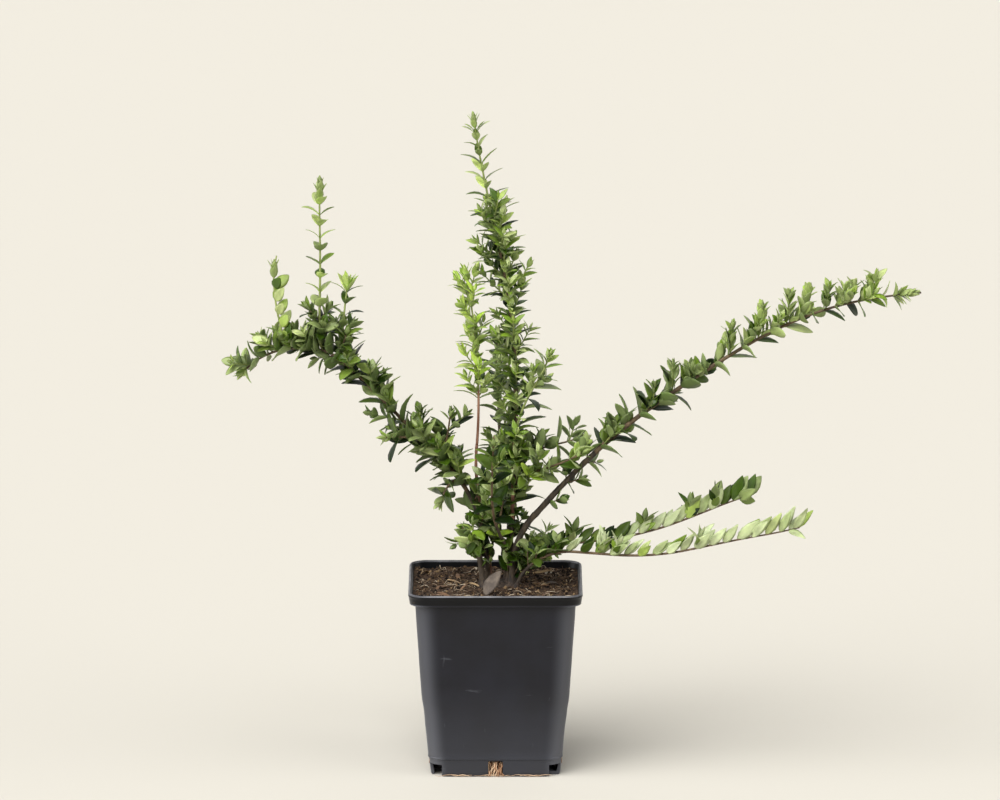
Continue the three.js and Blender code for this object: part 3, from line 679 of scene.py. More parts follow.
def grow(shoot, number, part, start):
    """A mass: its stem, then at each axil a leaf and often a sprig."""
    path, habit, look, end = shoot["path"], part["habit"], part["look"], part["to"]
    home = (part["node"], path, part["reach"], shoot["name"])
    dim = dict(look, side="deep", young="mid")
    pairs = max(1, round((end - start) * path.length / look["pace"]))
    crowned = 1 - look["tip_place"] / path.length
    for i in range(pairs):
        place = 1 - (1 - (i + PAIR_PLACE) / pairs) ** look["crowd"]
        share = mix(start, end, place)
        if share > crowned and habit != "comb" or place < look["bare"]:
            continue
        turn = (i % 2) * (math.pi / 2) + TURN_VARIES * roll(number, i, 2)
        age = max(0.0, (share - YOUNG_FROM) / (1 - YOUNG_FROM))
        youth = mix(0.72, 1.12, share) if habit == "comb" else mix(1, YOUNG_LEAF, age)
        thicket = place < look["thicket"]
        for side in (0, 1):
            key = (number, i, side)
            around = turn + side * math.pi
            if "comb" in look:
                middle, spread = look["comb"]
                around = math.radians(middle + spread * (1 - 2 * side))
                around += (i % 2 - 0.5) * math.radians(COMB_SWAY)
            opening = look["open"] + LEAF_OPEN_VARIES * (roll(*key, 4) - 0.5)
            if habit == "upright":
                opening *= mix(1, TIP_OPEN, age)
            tint = varied(tint_at(look, share, place, roll(number, i, 13)), roll(*key, 8))
            axil = path.at(share + AXIL / path.length)
            above = float(outward(axil, around, 90, 0)[2])
            if above > -0.5 or roll(*key, 9) < look["below"]:
                size = look["leaf"] * youth * mix(*LEAF_VARIES, roll(*key, 3))
                grow_leaf(home, path.at(share), around, mix(*shoot["thick"], share), opening,
                          look["lift"], size, look, tint, key)
            often = look["often"]
            chance = 1 if thicket else mix(often, look.get("above", often), max(0.0, above))
            if share <= look["twigs_end"] and roll(*key, 5) < chance:
                length = look["twig"] * youth * mix(*TWIG_VARIES, roll(*key, 6))
                sprig(home, axil, around, dim if thicket else look, length, key)
    if end == 1:
        crown(home, path.at(crowned), look, (number, 99), look["lift"], look["spire"])
    start -= SINK / path.length
    red = max(start, look["red"])
    girth = taper(*shoot["thick"], path)
    for kind, low, high in (("red", start, red),
                            ("green" if look["green"] else "wood", red, end)):
        if high > low:
            twig_heaps[kind].add(*tube(path, low, high, girth, 8, 2.0), node=part["node"])


def sprout(part, mass_path):
    """The sprouts of a mass."""
    look = {**COMMON, **HABITS["base"], **part["own"], "twig_lift": 0.0, "side": "deep",
            "young": "mid", "shaded": 1}
    for index, (name, share, around) in enumerate(SPROUTS[part["node"]]):
        key = (index, 953, len(part["node"]))
        home = (part["node"], mass_path, part["reach"], name)
        sprig(home, named(name)["path"].at(share), math.radians(around), look,
              mix(6, 9, roll(*key, 1)), key)


def named(name):
    return next(shoot for shoot in SHOOTS if shoot["name"] == name)


def foot_of(shoot):
    """Where a shoot starts: on the soil, or clear of the bark of the shoot that carries it."""
    if "foot" in shoot:
        return np.array((*shoot["foot"], SOIL_TOP + CLEAR), float)
    name, share = shoot["on"]
    parent = named(name)
    point, parent_way, _ = parent["path"].at(share)
    way = heading(shoot["rise"][0], shoot["bearing"][0])
    along = abs(way @ parent_way)
    square = math.sqrt(1 - along * along)
    bark = mix(*parent["thick"], share)
    return point + way * ((bark + CLEAR + shoot["thick"][0] * along) / square)


for shoot in SHOOTS:
    shoot["path"] = Path(foot_of(shoot), shoot["length"], shoot["rise"], shoot["bearing"])
    for k in range(len(shoot["path"].points)):
        share = k / (len(shoot["path"].points) - 1)
        limb_marks.append((shoot["name"], mix(*shoot["thick"], share)))

limb_tree = kdtree.KDTree(len(limb_marks))
for index, point in enumerate(np.vstack([shoot["path"].points for shoot in SHOOTS])):
    limb_tree.insert(Vector(point), index)
limb_tree.balance()

number = 0
for shoot in SHOOTS:
    start = (COLLAR_HEIGHT + CLEAR) / shoot["length"] if "foot" in shoot else 0.0
    for part in shoot["parts"]:
        if "look" in part:
            grow(shoot, number, part, start)
        if part["node"] in SPROUTS:
            sprout(part, shoot["path"])
        number += 1
        start = part["to"] + CLEAR / shoot["length"]

# Bark

BARK_FLARE = 0.9


def wrinkled(seed, depth):
    """Relief for a limb: lengthwise ridges, lumps and a ring at each old pair of leaves."""
    def relief(angle, length):
        x, y = math.cos(angle), math.sin(angle)
        ridge = noise.noise((1.7 * x, 1.7 * y + seed, 0.22 * length))
        fine = noise.noise((4.5 * x, 4.5 * y + seed, 0.8 * length))
        scar = math.exp(-((((length + 3 * seed) % 9.5) - 4.7) / 0.7) ** 2)
        return 1 + depth * (ridge + 0.6 * fine) + 0.09 * scar
    return relief


bark = Heap()
red_bark = Heap()
collar_heap = Heap()
for index, shoot in enumerate(SHOOTS):
    path, start = shoot["path"], 0.0
    stands = "foot" in shoot
    for part in shoot["parts"]:
        if "look" not in part:
            heap = red_bark if part["node"] == "inner_stem" else bark
            flared = taper(*shoot["thick"], path, BARK_FLARE if stands else 0.0)
            heap.add(*tube(path, start, part["to"] + SINK / path.length, flared, 16, 0.6,
                           wrinkled(index * 1.37, 0.16)), node=part["node"])
        start = part["to"]
    if stands:
        thick = shoot["thick"][0]
        flared = taper(thick, thick, path, COLLAR_FLARE)
        collar_heap.add(*tube(path, 0, COLLAR_HEIGHT / path.length, flared, 14, 0.5,
                              wrinkled(index * 2.1, 0.12)), node="root_collar")

# Materials


def linear(rgb):
    """A colour as shown on a screen, from 0 to 255, as the renderer's linear values."""
    return tuple(
        (c / 255 / 12.92) if c / 255 <= 0.04045 else ((c / 255 + 0.055) / 1.055) ** 2.4
        for c in rgb
    )


def feed(tree, made, inputs):
    """Gives each input of a node a value, or links it to the socket that feeds it."""
    for name, value in inputs.items():
        if isinstance(value, bpy.types.NodeSocket):
            tree.links.new(value, made.inputs[name])
        else:
            made.inputs[name].default_value = value


def add_node(tree, kind, output, inputs, operation=None):
    """The named output of a new shader node."""
    made = tree.nodes.new(kind)
    if operation:
        made.operation = operation
    feed(tree, made, inputs)
    return made.outputs[output]


def noise_node(tree, place, scale, detail):
    return add_node(tree, "ShaderNodeTexNoise", "Fac", {
        "Vector": place, "Scale": scale, "Detail": detail})


def mapped(tree, place, stretch):
    return add_node(tree, "ShaderNodeMapping", "Vector", {"Vector": place, "Scale": stretch})


def ranged(tree, value, smooth=False, **ends):
    """A value carried from one range to another."""
    made = add_node(tree, "ShaderNodeMapRange", "Result", {
        "Value": value, **{name.replace("_", " ").title(): end for name, end in ends.items()}})
    if smooth:
        made.node.interpolation_type = "SMOOTHSTEP"
    return made


def material(name, dark, light, scale, rough, bump=0.0, bump_scale=800.0, stretch=(1, 1, 1),
             detail=4.0, specular=0.5, subsurface=0.0, **sheen):
    """Two colours in a noise pattern, a little uneven gloss, and fine relief."""
    made = bpy.data.materials.new(name)
    made.use_nodes = True
    tree = made.node_tree
    place = mapped(tree, add_node(tree, "ShaderNodeTexCoord", "Object", {}), stretch)
    pattern = noise_node(tree, place, scale, detail)
    colour = add_node(tree, "ShaderNodeValToRGB", "Color", {"Fac": pattern})
    stops = colour.node.color_ramp.elements
    for stop, position, rgb in zip(stops, (0.34, 0.66), (dark, light)):
        stop.position = position
        stop.color = (*linear(rgb), 1)
    inputs = {
        "Base Color": colour,
        "Roughness": ranged(tree, pattern, to_min=rough - 0.07, to_max=rough + 0.07),
        "Specular IOR Level": specular,
        "Subsurface Weight": subsurface,
        **{"Sheen " + part.title(): value for part, value in sheen.items()},
    }
    if subsurface:
        inputs["Subsurface Radius"] = (0.6, 1.0, 0.3)
        inputs["Subsurface Scale"] = 0.0006
    if bump:
        inputs["Normal"] = add_node(tree, "ShaderNodeBump", "Normal", {
            "Height": noise_node(tree, place, bump_scale, 3.0), "Strength": bump,
            "Distance": 0.0002})
    feed(tree, tree.nodes["Principled BSDF"], inputs)
    return made


def family(name, scale, shades, **more):
    """Materials of one kind: each one's own name, two colours and roughness."""
    return [material(f"{name}_{own}", dark, light, scale, rough, **more)
            for own, dark, light, rough in shades]


def shade(rgb, factor):
    return tuple(min(255, c * factor) for c in rgb)


for tint, (greens, under, gloss, slot) in TINTS.items():
    looks = []
    for kind, green in enumerate(greens):
        back = shade(under, 0.94 + 0.06 * kind)
        looks += [
            material(f"leaf_{tint}_{kind}", shade(green, 0.88), shade(green, 1.12), 160, 0.36,
                     bump=0.25, bump_scale=900, subsurface=0.06, specular=gloss),
            material(f"underside_{tint}_{kind}", shade(back, 0.92), shade(back, 1.06), 160,
                     0.55, bump=0.2, bump_scale=900, subsurface=0.12),
        ]
    if leaf_heaps[tint].faces:
        leaf_heaps[tint].build(f"leaves_{tint}", looks, slot)

BARK_BUMP = 1500
bark_look = material("young_bark", (38, 31, 24), (80, 67, 51), 420, 0.78, bump=0.9,
                     bump_scale=BARK_BUMP, stretch=(1, 1, 0.35))
red_look = material("reddish_bark", (118, 76, 58), (172, 128, 102), 420, 0.6, bump=0.6,
                    bump_scale=BARK_BUMP, stretch=(1, 1, 0.35))
wood_look = material("brown_twigs", (72, 56, 40), (112, 92, 66), 420, 0.7, bump=0.6,
                     bump_scale=BARK_BUMP)
green_look = material("green_twigs", (122, 136, 72), (150, 160, 92), 300, 0.5, bump=0.3,
                      bump_scale=BARK_BUMP)
collar_look = material("damp_bark", (28, 21, 15), (66, 52, 40), 520, 0.8, bump=1.0,
                       bump_scale=BARK_BUMP)
bark.build("bough_bark", [bark_look], "bark")
red_bark.build("inner_bark", [red_look], "red_bark")
twig_heaps["red"].build("stem_reddish", [red_look], "red_bark")
twig_heaps["wood"].build("twigs_brown", [wood_look], "bark")
twig_heaps["green"].build("twigs_green", [green_look], "foliage_fresh")

# Root collar: the stems' flared feet and the low mound that they share, grown into one skin

COLLAR_GRAIN = 0.00035


def dome(rows, columns):
    """The low lumpy mound."""
    x, y = COLLAR_CENTRE
    wide, deep, high = COLLAR_DOME
    ground = SOIL_TOP + CLEAR
    points = [(x, y, ground + high)]
    for j in range(1, rows + 1):
        tilt = (math.pi / 2) * j / rows
        for i in range(columns):
            turn = 2 * math.pi * i / columns
            lump = 1 + 0.14 * noise.noise((2 * math.cos(turn), 2 * math.sin(turn), tilt))
            points.append((x + wide * lump * math.sin(tilt) * math.cos(turn),
                           y + deep * lump * math.sin(tilt) * math.sin(turn),
                           ground + high * math.cos(tilt)))
    faces = [(0, 1 + i, 1 + (i + 1) % columns) for i in range(columns)]
    faces += [(1 + a, 1 + d, 1 + c, 1 + b) for a, b, c, d in wall(rows, columns)]
    faces.append(tuple(1 + (rows - 1) * columns + i for i in reversed(range(columns))))
    return np.array(points), faces


def applied(piece):
    """Gives a piece its modifiers' result as its own mesh."""
    graph = bpy.context.evaluated_depsgraph_get()
    made = bpy.data.meshes.new_from_object(piece.evaluated_get(graph))
    piece.modifiers.clear()
    piece.data = made
    made.polygons.foreach_set("use_smooth", [True] * len(made.polygons))


collar_heap.add(*dome(8, 28))
collar = collar_heap.build("collar_bark", [collar_look], "bark")
skin = collar.modifiers.new("skin", "REMESH")
skin.mode = "VOXEL"
skin.voxel_size = COLLAR_GRAIN
even = collar.modifiers.new("even", "SMOOTH")
even.iterations = 2
applied(collar)
for vertex in collar.data.vertices:
    x, y, z = vertex.co * PER_METRE
    vertex.co += vertex.normal * (COLLAR_GRAIN * noise.noise((x * 0.9, y * 0.9, z * 0.5)))
    vertex.co.z = max(vertex.co.z, SOIL_TOP * MM)

# Pot

CORNER_STEPS = 10
SIDE_STEPS = 12
# Half the wall's outer width at each height, from the foot to the shoulder under the rim
WALL = (
    (0.0, 33.2), (0.5, 33.5), (3, 33.8), (6, 34.1), (9.0, 34.35), (9.3, 34.85), (9.8, 34.9),
    (10.2, 34.75), (14, 35.1), (20, 35.7), (26, 36.4), (31, 36.8), (35, 37.2), (37, 37.5),
    (40, 38.0), (43, 38.3), (50, 38.75), (58, 39.3), (66, 39.8), (74, 40.35), (82, 40.9),
    (88, 41.25), (91.6, 41.5),
)
# The rim's outside and inside, each ring as far in from its edge and down from the top
RIM_OUTSIDE = (
    (RIM_DRAFT + 0.35, RIM_HEIGHT + 0.05), (RIM_DRAFT, RIM_HEIGHT - 0.3),
    (RIM_DRAFT, RIM_HEIGHT - 0.9), (RIM_DRAFT / 2, RIM_HEIGHT - 3), (0.25, 2), (0.02, 1.6),
    (0, 1.2), (0.1, 0.7), (0.35, 0.3), (0.7, 0),
)
RIM_INSIDE = ((RIM_DRAFT, RIM_HEIGHT - 1.4), (0.1, 1), (0, 0.3), (-0.1, 0))
# The rim's lip has a painted highlight this far down, and its band painted shade down to here.
PAINTED_LIP_DEPTH = 0.9
PAINTED_SHADE_BAND = 5.2


def rounded_square(half, radius, z):
    """A ring of a square with round corners, its sides in even steps."""
    points = []
    for quarter in range(4):
        start = quarter * math.pi / 2
        c, s = math.cos(start), math.sin(start)
        reach = half - radius
        for i in range(CORNER_STEPS + 1):
            angle = start + (math.pi / 2) * i / CORNER_STEPS
            points.append((reach * (c - s) + radius * math.cos(angle),
                           reach * (s + c) + radius * math.sin(angle), z))
        x, y, _ = points[-1]
        for i in range(1, SIDE_STEPS):
            run = 2 * reach * i / SIDE_STEPS
            points.append((x - c * run, y - s * run, z))
    return points


def pot_shell():
    """The pot before its openings are cut."""
    rim = RIM_WIDTH / 2
    inner = CORNER_RADIUS - WALL_THICK
    rings = [rounded_square(half, CORNER_RADIUS, z) for z, half in WALL]
    rings += [rounded_square(rim - inset, CORNER_RADIUS, POT_HEIGHT - down)
              for inset, down in RIM_OUTSIDE]
    rings += [rounded_square(rim - WALL_THICK - inset, inner, POT_HEIGHT - down)
              for inset, down in RIM_INSIDE[::-1]]
    rings += [rounded_square(half - WALL_THICK, inner, max(z, FLOOR_THICK))
              for z, half in WALL[:0:-1]]
    size = len(rings[0])
    floor = (len(rings) - 1) * size
    faces = wall(len(rings), size)
    faces += [tuple(reversed(range(size))), tuple(floor + i for i in range(size))]
    return new_piece("pot_shell", np.vstack(rings), faces)


def block(low, high):
    """A box that cuts an opening."""
    corners = [(x, y, z) for x in (low[0], high[0]) for y in (low[1], high[1])
               for z in (low[2], high[2])]
    return new_piece("cutter", corners, ((0, 1, 3, 2), (2, 3, 7, 6), (6, 7, 5, 4),
                                         (4, 5, 1, 0), (2, 6, 4, 0), (7, 3, 1, 5)))


pot = pot_shell()
edge = FOOT_WIDTH / 2 + CUT_MARGIN
inner = edge - NOTCH_WIDTH - CUT_MARGIN
for side in range(4):
    for low, high in (
        ((inner, inner, -1), (edge + 1, edge + 1, NOTCH_HEIGHT)),
        ((inner, inner - NOTCH_RECESS, -1), (inner + 4, inner + 1, NOTCH_HEIGHT)),
        ((-SLOT_WIDTH / 2, edge - SLOT_DEPTH - CUT_MARGIN, -1),
         (SLOT_WIDTH / 2, edge + 1, SLOT_HEIGHT)),
    ):
        cutter = block(low, high)
        cutter.data.transform(Matrix.Rotation(side * math.pi / 2, 4, "Z"))
        cut = pot.modifiers.new("cut", "BOOLEAN")
        cut.operation = "DIFFERENCE"
        cut.solver = "EXACT"
        cut.object = cutter
        applied(pot)
        bpy.data.objects.remove(cutter)
pot.data.set_sharp_from_angle(angle=math.radians(32))
# The wall is a little uneven, and pressed in low on its right side.
for vertex in pot.data.vertices:
    x, y, z = vertex.co * PER_METRE
    wave = 0.16 * noise.noise((x * 0.035, y * 0.035, z * 0.045))
    dent = 0.75 * math.exp(-(((z - 24) / 5) ** 2) - ((y + 12) / 24) ** 2) * (x > 30)
    low = min(1.0, z / 8)
    high = min(1.0, max(0.0, (POT_HEIGHT - 1.5 - z) / 4))
    vertex.co += Vector((x, y, 0)).normalized() * ((wave - dent) * low * high * MM)


def combined(tree, operation, *values, clamp=False):
    made = add_node(tree, "ShaderNodeMath", "Value", dict(enumerate(values)), operation)
    made.node.use_clamp = clamp
    return made


def painted_corner_highlight(tree, place):
    """How much painted highlight a place has: the pot's round corners are paler than its flat
    sides.
    """
    reaches = [combined(tree, "ABSOLUTE", place.outputs[axis]) for axis in "XY"]
    ratio = combined(tree, "DIVIDE", combined(tree, "MINIMUM", *reaches),
                     combined(tree, "MAXIMUM", *reaches))
    return ranged(tree, ratio, smooth=True, from_min=0.7, from_max=0.97, to_max=0.18)


def scuffs_and_painted_highlight(made, mark, share, reach):
    """Adds pale scratches and smears, a paling that thins out above the foot, and a painted
    highlight on the round corners.
    """
    tree = made.node_tree
    colour = tree.nodes["Principled BSDF"].inputs["Base Color"]
    place = add_node(tree, "ShaderNodeTexCoord", "Object", {})
    marks = []
    for scale, stretch, low in ((55, (1, 1, 6), 0.69), (70, (5, 5, 0.8), 0.71),
                                (24, (1, 1, 1), 0.7)):
        pattern = noise_node(tree, mapped(tree, place, stretch), scale, 7.0)
        marks.append(ranged(tree, pattern, from_min=low, from_max=low + 0.06, to_max=share))
    height = add_node(tree, "ShaderNodeSeparateXYZ", "Z", {"Vector": place})
    # Paler towards the foot, fading out above it
    marks.append(ranged(tree, height, from_min=reach, from_max=0.0, to_max=0.09))
    # Painted highlight: the round corners paler, where the side lights catch them
    marks.append(painted_corner_highlight(tree, height.node))
    total = marks[0]
    for here in marks[1:]:
        total = combined(tree, "ADD", total, here, clamp=True)
    blend = tree.nodes.new("ShaderNodeMix")
    blend.data_type = "RGBA"
    feed(tree, blend, {
        "Factor": total, "A": colour.links[0].from_socket, "B": (*linear(mark), 1)})
    tree.links.new(blend.outputs["Result"], colour)


POT_BUMP = 1800
plastic = material("charcoal_plastic", (14, 14, 21), (21, 22, 31), 38, 0.46, bump=0.18,
                   bump_scale=POT_BUMP, specular=0.32, weight=0.25, roughness=0.3,
                   tint=(0.8, 0.86, 1, 1))
# One pale colour for the scratches, the paling at the foot and the painted corner highlight
scuffs_and_painted_highlight(plastic, (144, 146, 154), 0.1, 0.05)
# Painted shade: the rim's band is a darker plastic than the wall below it
shaded_band_look = material("rim_plastic_painted_shade", (5, 5, 7), (9, 9, 12), 38, 0.36, bump=0.15,
                bump_scale=POT_BUMP, specular=0.2, weight=0.2, roughness=0.4)
# Painted highlight: a pale line along the rim's lip, where its rounded top catches the light
lip_highlight_look = material("lip_painted_highlight", (72, 72, 76), (116, 116, 120), 90, 0.45, bump=0.15,
                bump_scale=POT_BUMP, specular=0.4)
pot.data.materials.clear()
for look in (plastic, shaded_band_look, lip_highlight_look):
    pot.data.materials.append(look)
# Faces above the band line get the painted shade, and those at the lip the painted highlight.
for polygon in pot.data.polygons:
    z = polygon.center.z / MM
    polygon.material_index = (z > POT_HEIGHT - PAINTED_SHADE_BAND) + (z > POT_HEIGHT - PAINTED_LIP_DEPTH)
dressed(pot, ("pot",))

# Soil

SOIL_STEPS = 170
# Lumps of the peat, large to small: height, pitch and a seed
LUMPS = ((1.5, 0.055, 3.1), (0.9, 0.16, 7.7), (0.55, 0.42, 1.3), (0.3, 1.1, 5.9))
# How far from the middle the loose bits of the peat lie, and how far from the collar
BED = 41
BED_CLEAR = 11
FIBRES = 620
CRUMBS = 1500
SLIVERS = 70


def soil_height(x, y):
    """Height of the peat over the pot's foot, lumpy, and heaped a little at the collar."""
    h = SOIL_TOP + 0.2
    for height, pitch, seed in LUMPS:
        h += height * noise.noise((x * pitch, y * pitch, seed))
    near = math.hypot(x - COLLAR_CENTRE[0], y - COLLAR_CENTRE[1])
    return h + 1.3 * math.exp(-((near / 15) ** 2))


def soil_bed():
    """The peat's surface, its corners drawn in to the pot's round corners."""
    half = RIM_WIDTH / 2 - RIM_DRAFT - WALL_THICK - CLEAR
    limit = CORNER_RADIUS - 1.5
    across_it = SOIL_STEPS + 1
    points, faces = [], []
    for j in range(across_it):
        for i in range(across_it):
            x, y = mix(-half, half, i / SOIL_STEPS), mix(-half, half, j / SOIL_STEPS)
            cx = max(0.0, abs(x) - (half - limit))
            cy = max(0.0, abs(y) - (half - limit))
            reach = math.hypot(cx, cy)
            if reach > limit:
                x -= math.copysign(cx * (1 - limit / reach), x)
                y -= math.copysign(cy * (1 - limit / reach), y)
            points.append((x, y, soil_height(x, y)))
            if i < SOIL_STEPS and j < SOIL_STEPS:
                a = j * across_it + i
                faces.append((a, a + 1, a + across_it + 1, a + across_it))
    return np.array(points), faces


soil = Heap()
soil.add(*soil_bed(), node="soil")
peat = material("peat", (22, 16, 12), (92, 73, 58), 620, 0.95, bump=1.0, bump_scale=1600,
                detail=8.0, specular=0.2)
soil.build("soil_bed", [peat], "soil")


def scattered(index, key):
    """A place on the soil, clear of the collar and the wall."""
    for attempt in range(20):
        x = mix(-BED, BED, roll(index, key, attempt, 1))
        y = mix(-BED, BED, roll(index, key, attempt, 2))
        if math.hypot(x - COLLAR_CENTRE[0], y - COLLAR_CENTRE[1]) > BED_CLEAR:
            break
    return x, y


def strand(points, radius, sides=4):
    """A thin closed tube through points, thinner at its ends."""
    points = [np.array(p, float) for p in points]
    last = len(points) - 1
    made, side = [], None
    for k, point in enumerate(points):
        way = unit(points[min(k + 1, last)] - points[max(k - 1, 0)])
        if side is None:
            side = UP if abs(way[2]) < 0.9 else np.array((1.0, 0, 0))
        side = across(way, side)
        made += ring(point, way, side, [radius * (1 - 0.7 * (2 * k / last - 1) ** 2)] * sides)
    faces = wall(last + 1, sides)
    faces.append(tuple(reversed(range(sides))))
    faces.append(tuple(last * sides + i for i in range(sides)))
    return np.array(made), faces


fibres = Heap()
for index in range(FIBRES):
    x, y = scattered(index, 501)
    length = mix(2.5, 11, roll(index, 503) ** 1.8)
    turn = roll(index, 504) * 2 * math.pi
    swing = mix(-1.6, 1.6, roll(index, 505))
    lift = mix(0.1, 2.2, roll(index, 506) ** 3)
    route = []
    for share in (0, 0.2, 0.4, 0.6, 0.8, 1):
        angle = turn + swing * (share - 0.5)
        x = max(-BED - 1, min(BED + 1, x + math.cos(angle) * length / 5))
        y = max(-BED - 1, min(BED + 1, y + math.sin(angle) * length / 5))
        route.append((x, y, soil_height(x, y) + 0.1 + lift * math.sin(math.pi * share)))
    kind = int(roll(index, 507) ** 1.9 * 4)
    fibres.add(*strand(route, mix(0.1, 0.28, roll(index, 508) ** 2)), kind)
fibres.build("soil_fibres", family("fibre", 500, (
    ("dark", (58, 42, 30), (88, 66, 46), 0.8),
    ("brown", (92, 70, 48), (124, 98, 68), 0.8),
    ("tan", (126, 106, 84), (158, 138, 114), 0.8),
    ("straw", (170, 152, 126), (202, 186, 162), 0.75),
)), "soil")

# Pale bits that show on the peat: x, y and size
PALE_BITS = ((-10, 37, 0.9), (27, 31, 1.3), (29, 30, 0.9), (-21, -35, 0.7))


def crumb(x, y, size, sunk, key):
    """A small angular lump on the peat."""
    centre = np.array((x, y, soil_height(x, y) + sunk * size))
    ends = ((1, 0, 0), (-1, 0, 0), (0, 1, 0), (0, -1, 0), (0, 0, 1), (0, 0, -1))
    points = [centre + np.array(end) * size * mix(0.55, 1.2, roll(*key, i))
              for i, end in enumerate(ends)]
    faces = ((0, 2, 4), (2, 1, 4), (1, 3, 4), (3, 0, 4), (2, 0, 5), (1, 2, 5), (3, 1, 5),
             (0, 3, 5))
    return np.array(points), faces


crumbs = Heap()
for index in range(CRUMBS):
    size = mix(0.25, 1.25, roll(index, 603) ** 2.4)
    kind = int(roll(index, 604) ** 1.7 * 3)
    crumbs.add(*crumb(*scattered(index, 601), size, 0.25, (index, 605)), kind)
for x, y, size in PALE_BITS:
    crumbs.add(*crumb(x, y, size, 0.4, (x, 606)), 3)
crumb_looks = family("crumb", 700, (
    ("black", (18, 13, 10), (42, 32, 26), 0.95),
    ("brown", (58, 44, 32), (86, 66, 48), 0.95),
    ("tan", (104, 84, 60), (138, 114, 84), 0.9),
), specular=0.2)
crumb_looks += family("crumb", 700, (("pale", (176, 166, 148), (214, 206, 190), 0.85),))
crumbs.build("soil_crumbs", crumb_looks, "soil", smooth=False)


def lie(heap, x, y, above, way, face, kind, *blade):
    """Lays a blade on the peat, its foot a little above it."""
    points = leaf_points(FULL_LEAF, *blade)
    foot = np.array((x, y, soil_height(x, y) + above))
    heap.add(laid(points, foot, way, across(way, np.array(face, float))), FULL_LEAF[1], kind)


# Slivers of bark and peat, each a thin curled strip

slivers = Heap()
for index in range(SLIVERS):
    x, y = scattered(index, 801)
    key = (index, 803)
    length = mix(4, 12, roll(*key, 1) ** 1.5)
    way = heading(mix(-4, 26, roll(*key, 2) ** 2), 360 * roll(*key, 3))
    if np.abs(np.array((x, y)) + way[:2] * length).max() < BED:
        lie(slivers, x, y, 0.2, way, UP + 0.5 * heading(0, 360 * roll(*key, 7)),
            int(roll(*key, 8) * 3), length, mix(0.12, 0.3, roll(*key, 4)), 0.9,
            mix(-60, 70, roll(*key, 5)), 0.5, mix(-70, 70, roll(*key, 6)), 0.3)
slivers.build("soil_slivers", family("sliver", 420, (
    ("dark", (50, 36, 26), (84, 62, 44), 0.85),
    ("brown", (92, 66, 46), (128, 98, 70), 0.85),
    ("tan", (132, 106, 76), (168, 142, 106), 0.8),
), bump=0.6), "soil")

# Leaves that have dropped on the peat: place, rise and bearing, length and width, the way the
# upper side looks, and a kind
DROPPED = (
    (-5.5, -27, 50, 34, 16, 0.46, (-0.2, -1, 0.5), 0),
    (14, 33, 20, 250, 7.5, 0.46, (0.2, -0.5, 1), 1),
    (18.5, 30, 10, 200, 5.5, 0.5, (0.2, -0.4, 1), 1),
    (9.5, 37, 24, 300, 4.4, 0.85, (0, -0.8, 1), 2),
    (12, 38, 10, 20, 3.4, 0.85, (0, -0.8, 1), 2),
    (-31, -8, 5, 25, 9, 0.42, (0.1, -0.2, 1), 3),
    (-24, -30, 7, 160, 10, 0.34, (0, 0.1, 1), 3),
    (24, -27, 5, 40, 9, 0.36, (0, 0, 1), 3),
    (33, 4, 8, 200, 8, 0.4, (0, 0, 1), 0),
    (-20, 30, 6, 300, 8, 0.4, (0, 0, 1), 3),
)
dropped = Heap()
for x, y, rise, bearing, length, wide, face, kind in DROPPED:
    lie(dropped, x, y, -0.2, heading(rise, bearing), face, kind, length, wide, 0.7, 28, 0.6,
        16, 0.35)
dropped.build("dropped_leaves", [
    material("dead_grey_leaf", (74, 64, 56), (108, 96, 84), 300, 0.75, bump=0.5),
    material("fallen_green_leaf", (168, 176, 92), (204, 206, 136), 300, 0.6, bump=0.3),
    material("reddish_bit", (150, 92, 76), (206, 150, 132), 500, 0.8, bump=0.5),
    material("dead_brown_leaf", (74, 54, 40), (116, 88, 64), 300, 0.8, bump=0.6),
], "soil")

# Roots

HALF_FOOT = FOOT_WIDTH / 2
roots = Heap()


def held(value, limit):
    return max(-limit, min(limit, value))


def at_side(side, out, along, z):
    """A point by one of the pot's sides: how far out from the middle, how far along, how high."""
    turn = side * math.pi / 2 - math.pi / 2
    return (out * math.cos(turn) - along * math.sin(turn),
            out * math.sin(turn) + along * math.cos(turn), z)


# In each drain slot, in two layers
for side in range(4):
    for index in range(24):
        key = (side, index)
        spread = mix(-3.3, 3.3, (index % 12) / 11)
        depth = mix(0.5, 1.4, roll(*key, 702)) + (index > 11) * 1.8
        route = []
        for k in range(9):
            share = k / 8
            drift = held(spread + 1.1 * math.sin(3.4 * share + 6 * roll(*key, 703)), 3.5)
            out = HALF_FOOT - depth - 0.5 * math.sin(5 * share + 6 * roll(*key, 704))
            z = mix(7.9, 0.4, share) + 0.7 * math.sin(7 * share + index)
            route.append(at_side(side, out, drift, min(8.0, max(0.35, z))))
        roots.add(*strand(route, mix(0.22, 0.5, roll(*key, 705)), 6), int(roll(*key, 706) * 2))
# Over each slot's lip
for side in range(4):
    for index in range(9):
        key = (side, index, 741)
        spread = mix(-4.2, 4.4, roll(*key, 1))
        route = []
        for k in range(8):
            share = k / 7
            drift = mix(held(spread, 3.2), spread, share)
            drift += 0.5 * math.sin(5 * share + 6 * roll(*key, 2))
            if share < 0.5:
                drift = held(drift, 3.4)
            out = HALF_FOOT + mix(-1.6, 0.9, min(1.0, 1.6 * share))
            z = max(0.3, mix(mix(3, 7.6, roll(*key, 3)), 0.2, share ** 0.8))
            route.append(at_side(side, out, drift, z))
        roots.add(*strand(route, mix(0.16, 0.32, roll(*key, 4)), 5), int(roll(*key, 5) * 2))
